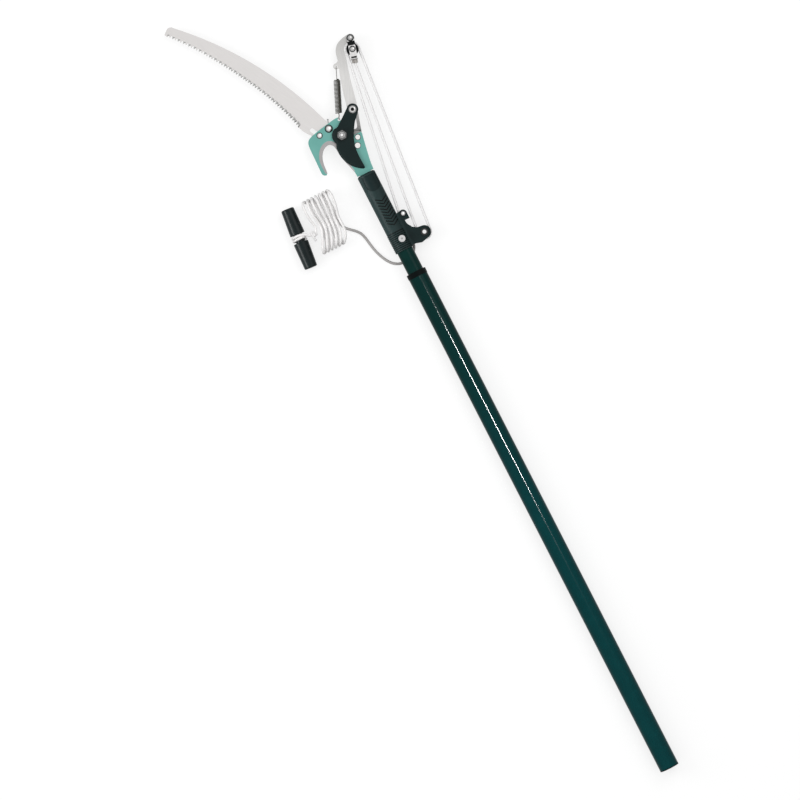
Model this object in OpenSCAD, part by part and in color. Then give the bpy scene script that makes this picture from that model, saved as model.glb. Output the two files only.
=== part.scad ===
// Tree pruner with a telescopic pole, a curved saw and a rope tackle.
// Millimetres. The pole lies along +Y with the head at +Y, the cutting side faces +Z,
// and z = 0 is the surface that the tool lies on.

/* [Pole] */
// Outside diameter of the lower tube
outer_d = 30; // [28:0.5:34]
// Wall of both tubes
tube_wall = 1.2; // [1:0.1:1.5]
// Length of the lower tube
outer_len = 826.5; // [500:0.5:1200]
// Outside diameter of the upper tube
inner_d = 25; // [24:0.5:26]
// Bare length of the upper tube between the collar and the handle
tube_gap = 36; // [30:1:60]
// Distance from the butt to the lower end of the upper tube
inner_low = 80; // [70:1:150]
// Flange diameter of the guide collar
collar_d = 31; // [30.5:0.5:34]
// Height of the guide collar's flange
collar_h = 8; // [5:0.5:14]
// Length of the collar's sleeve inside the lower tube
collar_sleeve = 28; // [15:1:50]
// Thickness of the end plug's flange
plug_flange = 1.5; // [1:0.1:4]
// Length of the end plug inside the tube
plug_len = 18; // [10:1:40]

/* [Handle] */
// Length of the moulded handle
handle_len = 129; // [129:1:150]
// Diameter of the handle
handle_d = 28.5; // [27.5:0.5:30]
// Depth of the socket that takes the upper tube
socket_len = 78; // [60:1:82]
// Width of the ribbed ring at the bottom of the handle
rib_zone = 30; // [20:1:34]
// Pitch of the ribs
rib_pitch = 3; // [2:0.5:5]
// Height of a rib over the handle
rib_h = 0.55; // [0.3:0.05:1]
// Number of chevrons on the grip
chevrons = 9; // [5:1:10]
// Pitch of the chevrons
chevron_pitch = 5; // [4.5:0.1:5.5]
// Depth of the chevrons and of the thumb rest
grip_depth = 0.7; // [0.4:0.1:1]

/* [Head plate] */
// Thickness of the head plate
plate_t = 4; // [3:0.25:5]
// Width of the plate's tang in the handle
tang_w = 18; // [12:0.5:20]
// Length of the plate's tang in the handle
tang_len = 38; // [20:1:40]

/* [Saw] */
// Thickness of the saw blade
saw_t = 1.2; // [0.8:0.1:2]
// Distance from one tooth to the next
tooth_pitch = 4.3; // [3:0.1:6]
// Depth of the deep gullets, one in two
gullet_deep = 4; // [3:0.1:5]
// Depth of the shallow gullets
gullet_low = 2.6; // [1.5:0.1:3]
// Height of the wing nut that holds the saw
wing_h = 12.8; // [11:0.1:16]

/* [Cutting blade and lever] */
// Thickness of the cutting blade
blade_t = 4; // [3:0.25:5]
// Thickness of the lever
lever_t = 4; // [3:0.25:4.5]
// Diameter of the main pivot bolt
pivot_d = 8; // [6:0.5:9]
// Diameter of the drive pin between blade and lever
drive_d = 6; // [5:0.5:7]
// Diameter of the lever's pivot rivet
rivet_d = 6; // [5:0.5:7]
// Diameter of the lever's stop pin
stop_d = 5.2; // [4:0.2:5.6]
// Width of the bevel on the cutting edge
bevel_w = 3.2; // [2:0.1:4]

/* [Tackle] */
// Diameter of the rope
rope_d = 4; // [3.5:0.1:4.2]
// Flange diameter of the two sheaves
sheave_d = 17.6; // [16:0.2:18]
// Width of the two sheaves
sheave_w = 6.6; // [5.6:0.1:6.8]
// Radius of the rope's middle on a sheave
turn_r = 9.5; // [9:0.1:10]
// Radius of the rope's middle at the guide roller
guide_r = 5.5; // [5.2:0.1:5.7]
// Diameter of the sheaves' axles
axle_d = 6; // [5:0.5:6.5]
// Diameter of the guide roller's pin
guide_pin_d = 4; // [3:0.5:4.5]

/* [Return spring] */
// Outside diameter of the spring
spring_d = 10.6; // [9:0.2:11]
// Diameter of the spring wire
wire_d = 1.4; // [1:0.1:1.5]
// Number of curls
curls = 26; // [20:1:27]

/* [Rope end] */
// Length of the pull toggle
toggle_len = 95; // [80:1:120]
// Diameter at the toggle's middle
toggle_d = 23; // [20:0.5:26]
// Diameter at the toggle's ends
toggle_end_d = 20; // [16:0.5:22]
// Number of whole loops in the hank
hank_loops = 6; // [4:1:8]
// Half length of the hank
hank_h = 41; // [38:0.5:50]
// Radius of the hank's folds
fold_r = 12.5; // [12:0.5:14]

/* [Hidden] */
$fn = 64;

green = [0.29, 0.64, 0.56];
dark_green = [0.07, 0.33, 0.28];
black = [0.10, 0.11, 0.11];
steel = [0.78, 0.78, 0.78];
bright = [0.88, 0.88, 0.90];
rope_white = [0.90, 0.89, 0.87];
spring_grey = [0.36, 0.34, 0.31];

// Clearances
run = 0.05;       // radial play of a pin that turns in its hole
fit = 0.05;       // radial play of a pin that is fixed in its hole
gap = 0.3;        // room between faces that move past each other
// Places along the pole
outer_top = plug_flange + outer_len;
handle_low = outer_top + collar_h + tube_gap;
head_y = handle_low + handle_len - 1;
bore_r = outer_d / 2 - tube_wall;
inner_r = inner_d / 2;
rope_r = rope_d / 2;
// Layers of the head, measured from the pole's axis
face = plate_t / 2;
blade_low = face + gap;
blade_top = blade_low + blade_t;
washer_t = 1;
axis_z = face + saw_t + washer_t + wing_h;
lever_back = -face - gap - lever_t;
fork_half = 7;
strap_in = 5.3;
strap_t = 1.2;
strap_out = strap_in + strap_t;
// Pins of the head, from the head's datum on the pole's axis
main_pivot = [-5.5, 68];
lever_pivot = [8.7, 44];
stop_at = [14.5, 55];
drive_at = [26.3, 95.5];
saw_bolt_at = [-18.5, 86];
saw_rivet_at = [-35.5, 83];
spring_low = [1.6, 91.2];
spring_top = [33.8, 164.3];
swivel_at = [72, 192.5];
sheave_at = [67.4, 176.1];
// Pins of the handle, from the handle's lower end
fork_at = [38.7, 11];
guide_at = [22.5, 50];
screw_at = [4, 17];
// Swing of the lever and of the blade, in degrees
lever_swing = 44.9;
blade_swing = 56;
// The box of the tool without its free rope
saw_tip = [-174, 323.5];
saw_top = [-163, 330.5];
centre = [(saw_tip[0] + sheave_at[0] + turn_r + rope_r) / 2, (head_y + saw_top[1]) / 2];

// Points and curves
function unit(v) = v / norm(v);
function turn2(p, a) = [p[0] * cos(a) - p[1] * sin(a), p[0] * sin(a) + p[1] * cos(a)];
function arc(c, r, a0, a1, n = 24) = [for (i = [0:n]) c + r * [cos(a0 + (a1 - a0) * i / n),
    sin(a0 + (a1 - a0) * i / n)]];
// A point of the curve through b and c, with a and d as their neighbours
function bend(a, b, c, d, t) = 0.5 * (2 * b + (c - a) * t + (2 * a - 5 * b + 4 * c - d) * t * t
    + (3 * b - a - 3 * c + d) * t * t * t);
// A smooth open curve through all the points
function smooth(p, n = 5) = concat([for (i = [0:len(p) - 2], k = [0:n - 1])
    bend(p[max(i - 1, 0)], p[i], p[i + 1], p[min(i + 2, len(p) - 1)], k / n)], [p[len(p) - 1]]);
// An arc from a to b that rises by sag to the right of the way from a to b
function bow(a, b, sag, n = 24) = let(d = norm(b - a), u = (b - a) / d, right = [u[1], -u[0]])
    [for (i = [0:n]) let(t = i / n) a + (b - a) * t + right * 4 * sag * t * (1 - t)];
// Ends of a line that touches two circles; side 1 is right of the way from c1 to c2, -1 is left
function touch(c1, r1, c2, r2, side) = let(d = c2 - c1, l = norm(d), u = d / l, right = [u[1], -u[0]],
    s = side * (r2 - r1) / l, n = right * sqrt(1 - s * s) - u * s) [c1 + side * r1 * n, c2 + side * r2 * n];
// Circle through three points, as [centre, radius]
function circle_of(a, b, c) =
    let(d = 2 * (a[0] * (b[1] - c[1]) + b[0] * (c[1] - a[1]) + c[0] * (a[1] - b[1])),
    x = (a * a * (b[1] - c[1]) + b * b * (c[1] - a[1]) + c * c * (a[1] - b[1])) / d,
    y = (a * a * (c[0] - b[0]) + b * b * (a[0] - c[0]) + c * c * (b[0] - a[0])) / d)
    [[x, y], norm(a - [x, y])];
function angle_of(c, p) = atan2(p[1] - c[1], p[0] - c[0]);

// Tubes swept along points
function tangent(p, i) = unit(p[min(i + 1, len(p) - 1)] - p[max(i - 1, 0)]);
function across(v, t) = unit(v - t * (v * t));
function frames(p, start) = [for (i = 0, n = across(start, tangent(p, 0)); i < len(p);
    i = i + 1, n = i < len(p) ? across(n, tangent(p, i)) : n) n];
module tube(p, r, sides, start) {
    n = frames(p, start);
    last = len(p) - 1;
    points = [for (i = [0:last], k = [0:sides - 1]) let(t = tangent(p, i), b = cross(t, n[i]),
        a = 360 * k / sides)
        p[i] + r * (cos(a) * n[i] + sin(a) * b)];
    walls = [for (i = [0:last - 1], k = [0:sides - 1]) let(a = i * sides + k, b = i * sides + (k + 1) % sides)
        each [[a, a + sides, b], [b, a + sides, b + sides]]];
    end = last * sides;
    caps = [for (k = [1:sides - 2]) each [[0, k, k + 1], [end, end + k + 1, end + k]]];
    polyhedron(points, concat(walls, caps), convexity = 10);
}
// Least distance between points of a path that are more than skip steps apart, less the tube
function least_gap(p, skip, d) = min([for (i = [0:len(p) - 1 - skip], j = [i + skip:len(p) - 1])
    norm(p[i] - p[j])]) - d;

// Placing
module on_pole() { translate([-centre[0], -centre[1], axis_z]) children(); }
module on_head() { on_pole() translate([0, head_y, 0]) children(); }
module on_handle() { on_pole() translate([0, handle_low, 0]) children(); }
module along_pole(y) { on_pole() translate([0, y, 0]) rotate([-90, 0, 0]) children(); }
module slab(low, high) { translate([0, 0, low]) linear_extrude(high - low) children(); }
module pin(at, r, low, high) { translate([at[0], at[1], low]) cylinder(r = r, h = high - low); }
module hex(at, flats, low, high) { translate([at[0], at[1], low]) cylinder(d = flats / cos(30),
    h = high - low, $fn = 6); }
module stadium(a, b, r, low, high) {
    d = b - a;
    pin(a, r, low, high);
    pin(b, r, low, high);
    side = r - 0.02;
    translate([a[0], a[1], low]) rotate(atan2(d[1], d[0])) translate([0, -side, 0])
        cube([norm(d), 2 * side, high - low]);
}

// Pole
module outer_tube() {
    color(dark_green) along_pole(plug_flange) difference() {
        cylinder(d = outer_d, h = outer_len);
        translate([0, 0, -1]) cylinder(r = bore_r, h = outer_len + 2);
    }
}
module collar() {
    round_r = 1;
    color(black) along_pole(outer_top) rotate_extrude() {
        bore = inner_r + run;
        polygon(concat([[bore, -collar_sleeve], [bore_r - fit, -collar_sleeve], [bore_r - fit, 0],
            [collar_d / 2, 0]],
            arc([collar_d / 2 - round_r, collar_h - round_r], round_r, 0, 90, 6), [[bore, collar_h]]));
    }
}
module end_plug() {
    wall = 2;
    fin = 0.6;
    fins = 4;
    color(black) along_pole(0) {
        difference() {
            union() {
                cylinder(d = outer_d, h = plug_flange);
                cylinder(r = bore_r - fit - fin, h = plug_flange + plug_len);
                for (i = [1:fins]) translate([0, 0, plug_flange + (i - 0.5) * plug_len / fins])
                    cylinder(r = bore_r - fit, h = plug_len / fins / 2);
            }
            translate([0, 0, plug_flange + wall]) cylinder(r = bore_r - fit - fin - wall, h = plug_len);
        }
    }
}
inner_top = handle_low + socket_len;
module inner_tube() {
    color(dark_green) along_pole(inner_low) difference() {
        cylinder(r = inner_r, h = inner_top - inner_low);
        translate([0, 0, -1]) cylinder(r = inner_r - tube_wall, h = inner_top - inner_low + 2);
        translate([screw_at[0], 0, handle_low + screw_at[1] - inner_low]) rotate([90, 0, 0])
            cylinder(r = screw_r + fit, h = inner_d);
    }
}
// Twist lock: a spindle fixed in the upper tube and a split sleeve that grips the lower tube
lock_plug = 22;
lock_rod = 40;
lock_rod_r = 4;
lock_cone_h = 12;
lock_cone_r = 9;
sleeve_len = 32;
module lock_spindle() {
    color(black) along_pole(inner_low) {
        cylinder(r = inner_r - tube_wall - fit, h = lock_plug);
        translate([0, 0, -2]) cylinder(r = inner_r, h = 2);
        translate([0, 0, -lock_rod]) cylinder(r = lock_rod_r, h = lock_rod);
        translate([0, 0, -lock_rod]) cylinder(r1 = lock_cone_r, r2 = lock_rod_r, h = lock_cone_h);
    }
}
module lock_sleeve() {
    slit = 2;
    slits = 3;
    low = -lock_rod + lock_cone_h / 2;
    color([0.85, 0.85, 0.82]) along_pole(inner_low) difference() {
        translate([0, 0, low]) cylinder(r = bore_r - run, h = sleeve_len - 2 * gap);
        translate([0, 0, low - 1]) cylinder(r = lock_rod_r + run, h = sleeve_len + 2);
        translate([0, 0, -lock_rod]) cylinder(r1 = lock_cone_r + gap, r2 = lock_rod_r + gap, h = lock_cone_h);
        for (i = [0:slits - 1]) rotate(i * 360 / slits) translate([lock_rod_r + 1, -slit / 2, low - 1])
            cube([bore_r, slit, sleeve_len * 0.7]);
    }
}

// Handle: a moulded grip with a fork for the lower sheave and two ears for the guide roller
screw_r = 3;
ear_in = 4.2;
ear_out = 6.8;
rope_room = 1;
module grip_profile() {
    r = handle_d / 2;
    ribs = floor(rib_zone / rib_pitch);
    polygon(concat([[0, 0], [r - 0.4, 0]],
        [for (i = [0:ribs - 1]) each [[r + rib_h, (i + 0.15) * rib_pitch], [r + rib_h, (i + 0.6) * rib_pitch],
            [r - 0.1, (i + 0.75) * rib_pitch], [r - 0.1, (i + 0.95) * rib_pitch]]],
        [[r, rib_zone + 1]], arc([r - 3, handle_len - 3], 3, 0, 80, 8), [[0, handle_len]]));
}
module fork_outline() {
    translate(fork_at) circle(10);
    polygon([[21.5, 32], [22.5, 30], [26, 26], [32, 22], fork_at + [0.5, 10], fork_at + [0, -10],
        [29, -1.2], [24, 0.2], [21.5, 1]]);
}
module web_outline() {
    polygon(concat([[10, 2], [18, 1.6], [21.5, 1], [24, 0.2], [27, 2], [27, 25]], [[25, 27]],
        arc([34, 38], 13.3, 228, 178, 8), [[20.5, 44], [10, 44]]));
}
module ear_outline() {
    polygon(concat([[10, 41], [28.5, 40], [28.5, 51]], arc(guide_at, 6, 10, 90, 8), [[17, 55], [10, 54]]));
}
module chevron_outline() {
    arm = 9;
    line = 2;
    apex = 3.5;
    low = 40;
    for (i = [0:chevrons - 1]) translate([apex, low + i * chevron_pitch])
        polygon([[0, 0], [arm, 0.62 * arm], [arm, 0.62 * arm + line], [0, line],
            [-arm, 0.62 * arm + line], [-arm, 0.62 * arm]]);
}
module thumb_outline() {
    polygon(concat([[-9, handle_len - 4]], arc([2, handle_len - 19], 11, 180, 360, 20),
        [[13, handle_len - 4]]));
}
module skin() {
    rotate([-90, 0, 0]) difference() {
        cylinder(d = handle_d + 4, h = handle_len);
        translate([0, 0, -1]) cylinder(r = handle_d / 2 - grip_depth, h = handle_len + 2);
    }
}
module handle() {
    sheave_room = sheave_w / 2 + 0.4;
    color(black) on_handle() difference() {
        union() {
            rotate([-90, 0, 0]) rotate_extrude() grip_profile();
            difference() {
                slab(-fork_half, fork_half) fork_outline();
                slab(-sheave_room, sheave_room) translate(fork_at) circle(turn_r + rope_r + 0.5);
                slab(-sheave_room, sheave_room) translate(fork_at - [turn_r + rope_r + 0.5, 0])
                    square([30, 40]);
            }
            slab(rope_room, fork_half) web_outline();
            slab(ear_in, ear_out) ear_outline();
            slab(-ear_out, -ear_in) ear_outline();
        }
        translate([0, -1, 0]) rotate([-90, 0, 0]) cylinder(r = inner_r + fit, h = socket_len + 1 + gap);
        translate([-tang_w / 2 - fit, handle_len - tang_len - gap, -face - fit])
            cube([tang_w + 2 * fit, tang_len + gap + 1, plate_t + 2 * fit]);
        pin(screw_at, screw_r + fit, 0, handle_d);
        intersection() {
            skin();
            union() {
                slab(0, handle_d) chevron_outline();
                slab(0, handle_d) thumb_outline();
            }
        }
        pin(fork_at, axle_d / 2 + fit, -20, 20);
        pin(guide_at, guide_pin_d / 2 + fit, -20, 20);
    }
}
module handle_screw() {
    seat = handle_d / 2 + rib_h;
    color(bright) on_handle() {
        pin(screw_at, screw_r, 4, seat);
        pin(screw_at, 5.2, seat, seat + 0.8);
        hex(screw_at, 8, seat + 0.8, seat + 3.6);
    }
}
sheave_nut_h = 6;
module sheave_bolt() {
    color(bright) on_handle() {
        pin(fork_at, axle_d / 2, -axis_z, fork_half);
        pin(fork_at, 5.4, fork_half, fork_half + 0.8);
        hex(fork_at, 8.6, fork_half + 0.8, fork_half + 4);
    }
}
module sheave_nut() {
    color(bright) on_handle() difference() {
        hex(fork_at, 10, -fork_half - sheave_nut_h, -fork_half);
        pin(fork_at, axle_d / 2 + fit, -fork_half - sheave_nut_h - 1, 0);
    }
}
module sheave_at_origin() {
    groove = rope_r + gap;
    color(black) difference() {
        rotate_extrude() difference() {
            translate([axle_d / 2 + run, -sheave_w / 2]) square([sheave_d / 2 - axle_d / 2 - run, sheave_w]);
            translate([turn_r, 0]) circle(groove);
        }
        spokes = 5;
        for (i = [0:spokes - 1]) rotate(i * 360 / spokes) translate([sheave_d * 0.28, 0, -sheave_w])
            cylinder(d = 1.6, h = 2 * sheave_w);
    }
}
module lower_sheave() { on_handle() translate(fork_at) sheave_at_origin(); }
module guide_bolt() {
    color(bright) on_handle() {
        pin(guide_at, guide_pin_d / 2, -ear_out, ear_out);
        translate([guide_at[0], guide_at[1], ear_out]) dome(4.4, 3);
        translate([guide_at[0], guide_at[1], -ear_out]) mirror([0, 0, 1]) dome(3.6, 2);
    }
}
module guide_roller() {
    w = 2 * ear_in - 2 * gap;
    color(steel) on_handle() translate(guide_at) rotate_extrude() difference() {
        translate([guide_pin_d / 2 + run, -w / 2]) square([4.7 - guide_pin_d / 2 - run, w]);
        translate([guide_r, 0]) circle(rope_r + gap);
    }
}
// A low round head of radius r and height h
module dome(r, h) {
    big = (r * r + h * h) / (2 * h);
    rotate_extrude() polygon(concat([[0, 0]], [for (i = [0:10]) let(a = asin(r / big) * (1 - i / 10))
        [big * sin(a), big * cos(a) - big + h]]));
}

// Head plate with its hook
hook_inner = [[-51, 27.5], [-50.3, 33], [-49.6, 41], [-48, 48.5], [-45, 55], [-40.5, 60.6], [-35.5, 63.7],
    [-30.5, 64.6], [-26.5, 62.8], [-23.6, 59], [-22.3, 53], [-21.8, 45], [-20, 34.5], [-16.8, 23],
        [-13.7, 11.5], [-13, 2]];
hook_outer = [[3, 93.6], [0, 95], [-8, 94.6], [-20, 92.6], [-34, 90.2], [-46, 87.4], [-52.5, 84.6], [-56, 80],
    [-57.4, 72], [-58, 52], [-58.6, 36], [-58.4, 29.5], [-56, 26.4], [-53, 25.2]];
plate_right = [[13.8, 2], [15, 15], [17.6, 30], [20.4, 45], [22.8, 57]];
function plate_points() = concat(smooth(hook_outer), smooth(hook_inner), smooth(plate_right, 4),
    [[22.4, 60.2], [11, 60.4], [8.4, 63], [6.6, 74], [4.6, 86]]);
module frame_plate() {
    color(green) on_head() difference() {
        union() {
            slab(-face, face) polygon(plate_points());
            slab(-face, face) translate([-tang_w / 2, 1 - tang_len]) square([tang_w, tang_len + 1]);
        }
        pin(main_pivot, pivot_d / 2 + fit, -10, 10);
        flush_hole(lever_pivot, rivet_d / 2);
        flush_hole(stop_at, stop_d / 2);
        pin(saw_bolt_at, 3 + fit, -10, 10);
        pin(saw_rivet_at, 3 + fit, -10, 10);
        pin(spring_low, 2.2, -10, 10);
    }
}
// A pin that ends in a countersunk head, flush with the front face
sink = 1.2;
module flush_hole(at, r) {
    pin(at, r + fit, -10, 10);
    translate([at[0], at[1], face - sink]) cylinder(r1 = r + fit, r2 = r + sink + fit, h = sink + 0.01);
}
module flush_pin(at, r, back_r) {
    back = lever_back - gap;
    pin(at, r, back, face);
    translate([at[0], at[1], face - sink]) cylinder(r1 = r, r2 = r + sink, h = sink);
    translate([at[0], at[1], back]) mirror([0, 0, 1]) dome(back_r, 2);
}
module lever_rivet() { color(bright) on_head() flush_pin(lever_pivot, rivet_d / 2, 6); }
module stop_pin() { color(bright) on_head() flush_pin(stop_at, stop_d / 2, 5); }

// Saw: back and toothed edge are arcs, with a deep gullet after every second tooth
saw_heel = [-47.5, 91];
saw_back = [-15.5, 94];
saw_edge_end = [-172, 319.5];
saw_edge_sag = 13.5;
saw_back_sag = 17;
function edge_at(t) = let(d = saw_edge_end - saw_heel, right = unit([d[1], -d[0]]))
    saw_heel + d * t + right * 4 * saw_edge_sag * t * (1 - t);
teeth = floor(norm(saw_edge_end - saw_heel) * 0.97 / tooth_pitch);
function tooth(i) = let(step = 0.97 / teeth, t = 0.03 + step * i, p = edge_at(t), q = edge_at(t + step),
    u = unit(q - p),
    in = [u[1], -u[0]], deep = i % 2 == 0 ? gullet_deep : gullet_low)
    [p, p + u * norm(q - p) * 0.42 + in * deep, p + u * norm(q - p) * 0.62 + in * deep];
saw_points = concat([saw_heel], [for (i = [0:teeth - 1]) each tooth(i)],
    [saw_edge_end, saw_tip, saw_tip + [4, 3.6], saw_top + [-3, -0.4], saw_top, saw_top + [4, -1.5]],
    bow(saw_top + [5.5, -3.5], saw_back, -saw_back_sag),
    [[-12.5, 86], [-15, 79], [-23, 77.5], [-39, 76.5], [-44, 80]]);
module saw_blade() {
    color(steel) on_head() difference() {
        slab(-face - saw_t, -face) polygon(saw_points);
        pin(saw_bolt_at, 3 + fit, -10, 10);
        stadium(saw_rivet_at, [-42, 95.5], 3 + fit, -10, 10);
    }
}
module saw_bolt() {
    color(bright) on_head() {
        pin(saw_bolt_at, 3, -face - saw_t - washer_t - wing_h * 0.8, face);
        translate([saw_bolt_at[0], saw_bolt_at[1], face]) dome(5.4, 3);
    }
}
module saw_washer() {
    color(bright) on_head() difference() {
        pin(saw_bolt_at, 7, -face - saw_t - washer_t, -face - saw_t);
        pin(saw_bolt_at, 3 + fit, -20, 20);
    }
}
module saw_wing_nut() {
    seat = -face - saw_t - washer_t;
    hub = wing_h * 0.65;
    color(bright) on_head() translate([saw_bolt_at[0], saw_bolt_at[1], seat]) difference() {
        union() {
            translate([0, 0, -hub]) cylinder(r1 = 4.6, r2 = 6, h = hub);
            for (a = [70, 250]) rotate([90, 0, a]) translate([0, 0, -1.3]) linear_extrude(2.6)
                polygon(concat([[3.5, -0.5], [5.5, -0.5], [10, -4]],
                    arc([12.2, -wing_h + 3.4], 3.4, 60, -110, 12), [[3.5, -hub + 0.5]]));
        }
        translate([0, 0, -wing_h - 1]) cylinder(r = 3 + fit, h = wing_h + 2);
    }
}
module saw_rivet() {
    color(bright) on_head() {
        pin(saw_rivet_at, 3, -face - saw_t, face);
        translate([saw_rivet_at[0], saw_rivet_at[1], face]) dome(4, 1.6);
        translate([saw_rivet_at[0], saw_rivet_at[1], -face - saw_t]) mirror([0, 0, 1]) dome(4.6, 1.6);
    }
}

// Main pivot
pivot_head = 5.3;
pivot_nut_h = 6;
module pivot_bolt() {
    color(bright) on_head() {
        hex(main_pivot, 13, -face - pivot_head, -face);
        pin(main_pivot, pivot_d / 2, -face, blade_top + gap + washer_t + pivot_nut_h + 1.5);
    }
}
module pivot_washer() {
    color(black) on_head() difference() {
        pin(main_pivot, 8, blade_top + gap, blade_top + gap + washer_t);
        pin(main_pivot, pivot_d / 2 + fit, 0, 20);
    }
}
module pivot_nut() {
    color(bright) on_head() difference() {
        hex(main_pivot, 13, blade_top + gap + washer_t, blade_top + gap + washer_t + pivot_nut_h);
        pin(main_pivot, pivot_d / 2 + fit, 0, 30);
    }
}

// Cutting blade: a claw with an arc for its edge, ground to a bevel, and an arm for the drive pin
edge_circle = circle_of([-21.5, 54], [-17.2, 27], [1, 9]);
edge_from = angle_of(edge_circle[0], [-21.5, 54]);
edge_to = angle_of(edge_circle[0], [1, 9]);
edge_turn = (edge_to - edge_from + 720) % 360;
blade_edge = arc(edge_circle[0], edge_circle[1], edge_from, edge_from + edge_turn, 30);
arm_r = 8.8;
bevel_out = 0.4;
boss_r = 15;
blade_back = [[3.4, 9.4], [3.7, 13], [3.2, 24], [3.4, 34], [4.6, 44], [7, 52], [10.5, 60], [15, 68],
    [20.5, 76.5], [27.5, 84], [33.2, 90.2]];
module cutting_blade() {
    color(black) on_head() difference() {
        slab(blade_low, blade_top) polygon(concat(blade_edge, smooth(blade_back, 4),
            arc(drive_at, arm_r, -38, 142, 20), [[5, 90], [-6, 82]], arc(main_pivot, boss_r, 118, 208, 14)));
        translate([edge_circle[0][0], edge_circle[0][1], 0]) rotate(edge_from + 4)
            rotate_extrude(angle = edge_turn + 8, $fn = 128) polygon([[edge_circle[1] - bevel_w, blade_top],
                [edge_circle[1] - bevel_w, blade_top + 1], [edge_circle[1] + 3, blade_top + 1],
                [edge_circle[1] + 3, blade_low + 0.6 - bevel_out * (blade_t - 0.6) / bevel_w],
                [edge_circle[1] + bevel_out, blade_low + 0.6 - bevel_out * (blade_t - 0.6) / bevel_w]]);
        pin(main_pivot, pivot_d / 2 + run, 0, 20);
        pin(drive_at, drive_d / 2 + fit, 0, 20);
    }
}
module drive_bolt() {
    color(bright) on_head() {
        pin(drive_at, drive_d / 2, -face - 0.2, blade_top);
        difference() {
            translate([drive_at[0], drive_at[1], blade_top]) dome(6.4, 3.2);
            for (a = [25, 115]) translate([drive_at[0], drive_at[1], blade_top + 1.6]) rotate(a)
                translate([-3, -0.6, 0]) cube([6, 1.2, 4]);
        }
    }
}

// Lever: its foot turns behind the plate, a cranked band brings the arm level with the plate
crank_from = 22;
crank_to = 30;
lever_left = [[10.2, 64.4], [12.6, 74], [16.6, 90], [20.6, 104], [24.8, 122], [29, 138], [32.8, 150],
    [35.4, 157]];
lever_crown = [[39.6, 169], [41.6, 179], [45, 187.4], [51, 193.6], [59, 197], [66.5, 198.6],
    swivel_at + [0, 6.4]];
lever_right = [[53, 168], [50, 158], [46.4, 145], [42.4, 129], [36.4, 102], [31, 85], [26.4, 70],
    [24, 62], [20.4, 51]];
stop_reach = norm(stop_at - lever_pivot);
stop_from = angle_of(lever_pivot, stop_at);
slot_dir = unit(drive_at - lever_pivot);
slot_side = [-slot_dir[1], slot_dir[0]];
slot_play = 1.9;
slot_far = drive_at + slot_side * slot_play / 2;
slot_near = lever_pivot + slot_dir * 29.4 + slot_side * slot_play / 2;
module lever_blank() {
    slab(-20, 20) polygon(concat(smooth(lever_left, 4), smooth(lever_crown, 4),
        arc(swivel_at, 6.4, 90, -75, 14),
        arc(sheave_at, turn_r + rope_r + 1, 78, 172, 16), smooth(lever_right, 4),
            arc(lever_pivot, 8.6, 20, -200, 20)));
    pin(spring_top, 4.4, -20, 20);
    slab(-20, 20) polygon([spring_top + [-4, 1.5], spring_top + [1.5, -4.4], [38, 157], [44, 168],
        [40, 170.5]]);
    lobe_r = stop_reach + stop_d / 2 + 3.4;
    slab(-20, 20) polygon(concat([lever_pivot], arc(lever_pivot, lobe_r, stop_from,
        stop_from + lever_swing + 24, 20)));
}
module lever_arm() {
    far = 240;
    stop_play = 0.4;
    color(steel) on_head() difference() {
        intersection() {
            lever_blank();
            translate(lever_pivot) rotate_extrude($fn = 96) polygon([[0, lever_back],
                [crank_from, lever_back], [crank_to, -face],
                [far, -face], [far, -face + lever_t], [crank_to, -face + lever_t],
                    [crank_from, lever_back + lever_t], [0, lever_back + lever_t]]);
        }
        pin(lever_pivot, rivet_d / 2 + run, -20, 20);
        pin(swivel_at, 3 + fit, -20, 20);
        pin(spring_top, 1.9, -20, 20);
        stadium(slot_near, slot_far, drive_d / 2 + slot_play / 2 + gap, -20, 20);
        translate([lever_pivot[0], lever_pivot[1], -20]) rotate(stop_from) rotate_extrude(angle = lever_swing)
            translate([stop_reach - stop_d / 2 - stop_play, 0]) square([stop_d + 2 * stop_play, 40]);
        pin(stop_at, stop_d / 2 + stop_play, -20, 20);
        pin(lever_pivot + stop_reach * [cos(stop_from + lever_swing), sin(stop_from + lever_swing)],
            stop_d / 2 + stop_play, -20, 20);
    }
}

// Pulley block at the top of the lever
block_turn = atan2(sheave_at[0] - swivel_at[0], swivel_at[1] - sheave_at[1]);
block_len = norm(sheave_at - swivel_at);
becket_at = 29.6;
ferrule_from = 31.4;
ferrule_to = 38;
module on_block() { on_head() translate(swivel_at) rotate(block_turn) children(); }
function block_point(y) = swivel_at + turn2([0, -y], block_turn);
module block_bolt() {
    color(bright) on_head() {
        pin(swivel_at, 3, -strap_out - gap, strap_out + gap);
        translate([swivel_at[0], swivel_at[1], strap_out + gap]) dome(4.6, 2.6);
        translate([swivel_at[0], swivel_at[1], -strap_out - gap]) mirror([0, 0, 1]) dome(4.6, 2);
    }
}
module block_bushes() {
    color(black) on_head() for (s = [-1, 1]) difference() {
        pin(swivel_at, 5, s > 0 ? -face + lever_t : -strap_in + gap, s > 0 ? strap_in - gap : -face);
        pin(swivel_at, 3 + fit, -20, 20);
    }
}
module block_strap() {
    color(bright) on_block() for (s = [-1, 1]) difference() {
        slab(s > 0 ? strap_in : -strap_out, s > 0 ? strap_out : -strap_in) {
            circle(5.6);
            translate([-5.2, -becket_at - 2.6]) square([10.4, becket_at + 2.6]);
        }
        pin([0, 0], 3 + run, -20, 20);
        pin([0, -block_len], axle_d / 2 + fit, -20, 20);
        translate([-4.2, -becket_at - 1.3 - fit, -20]) cube([8.4, 2.6 + 2 * fit, 40]);
    }
}
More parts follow.
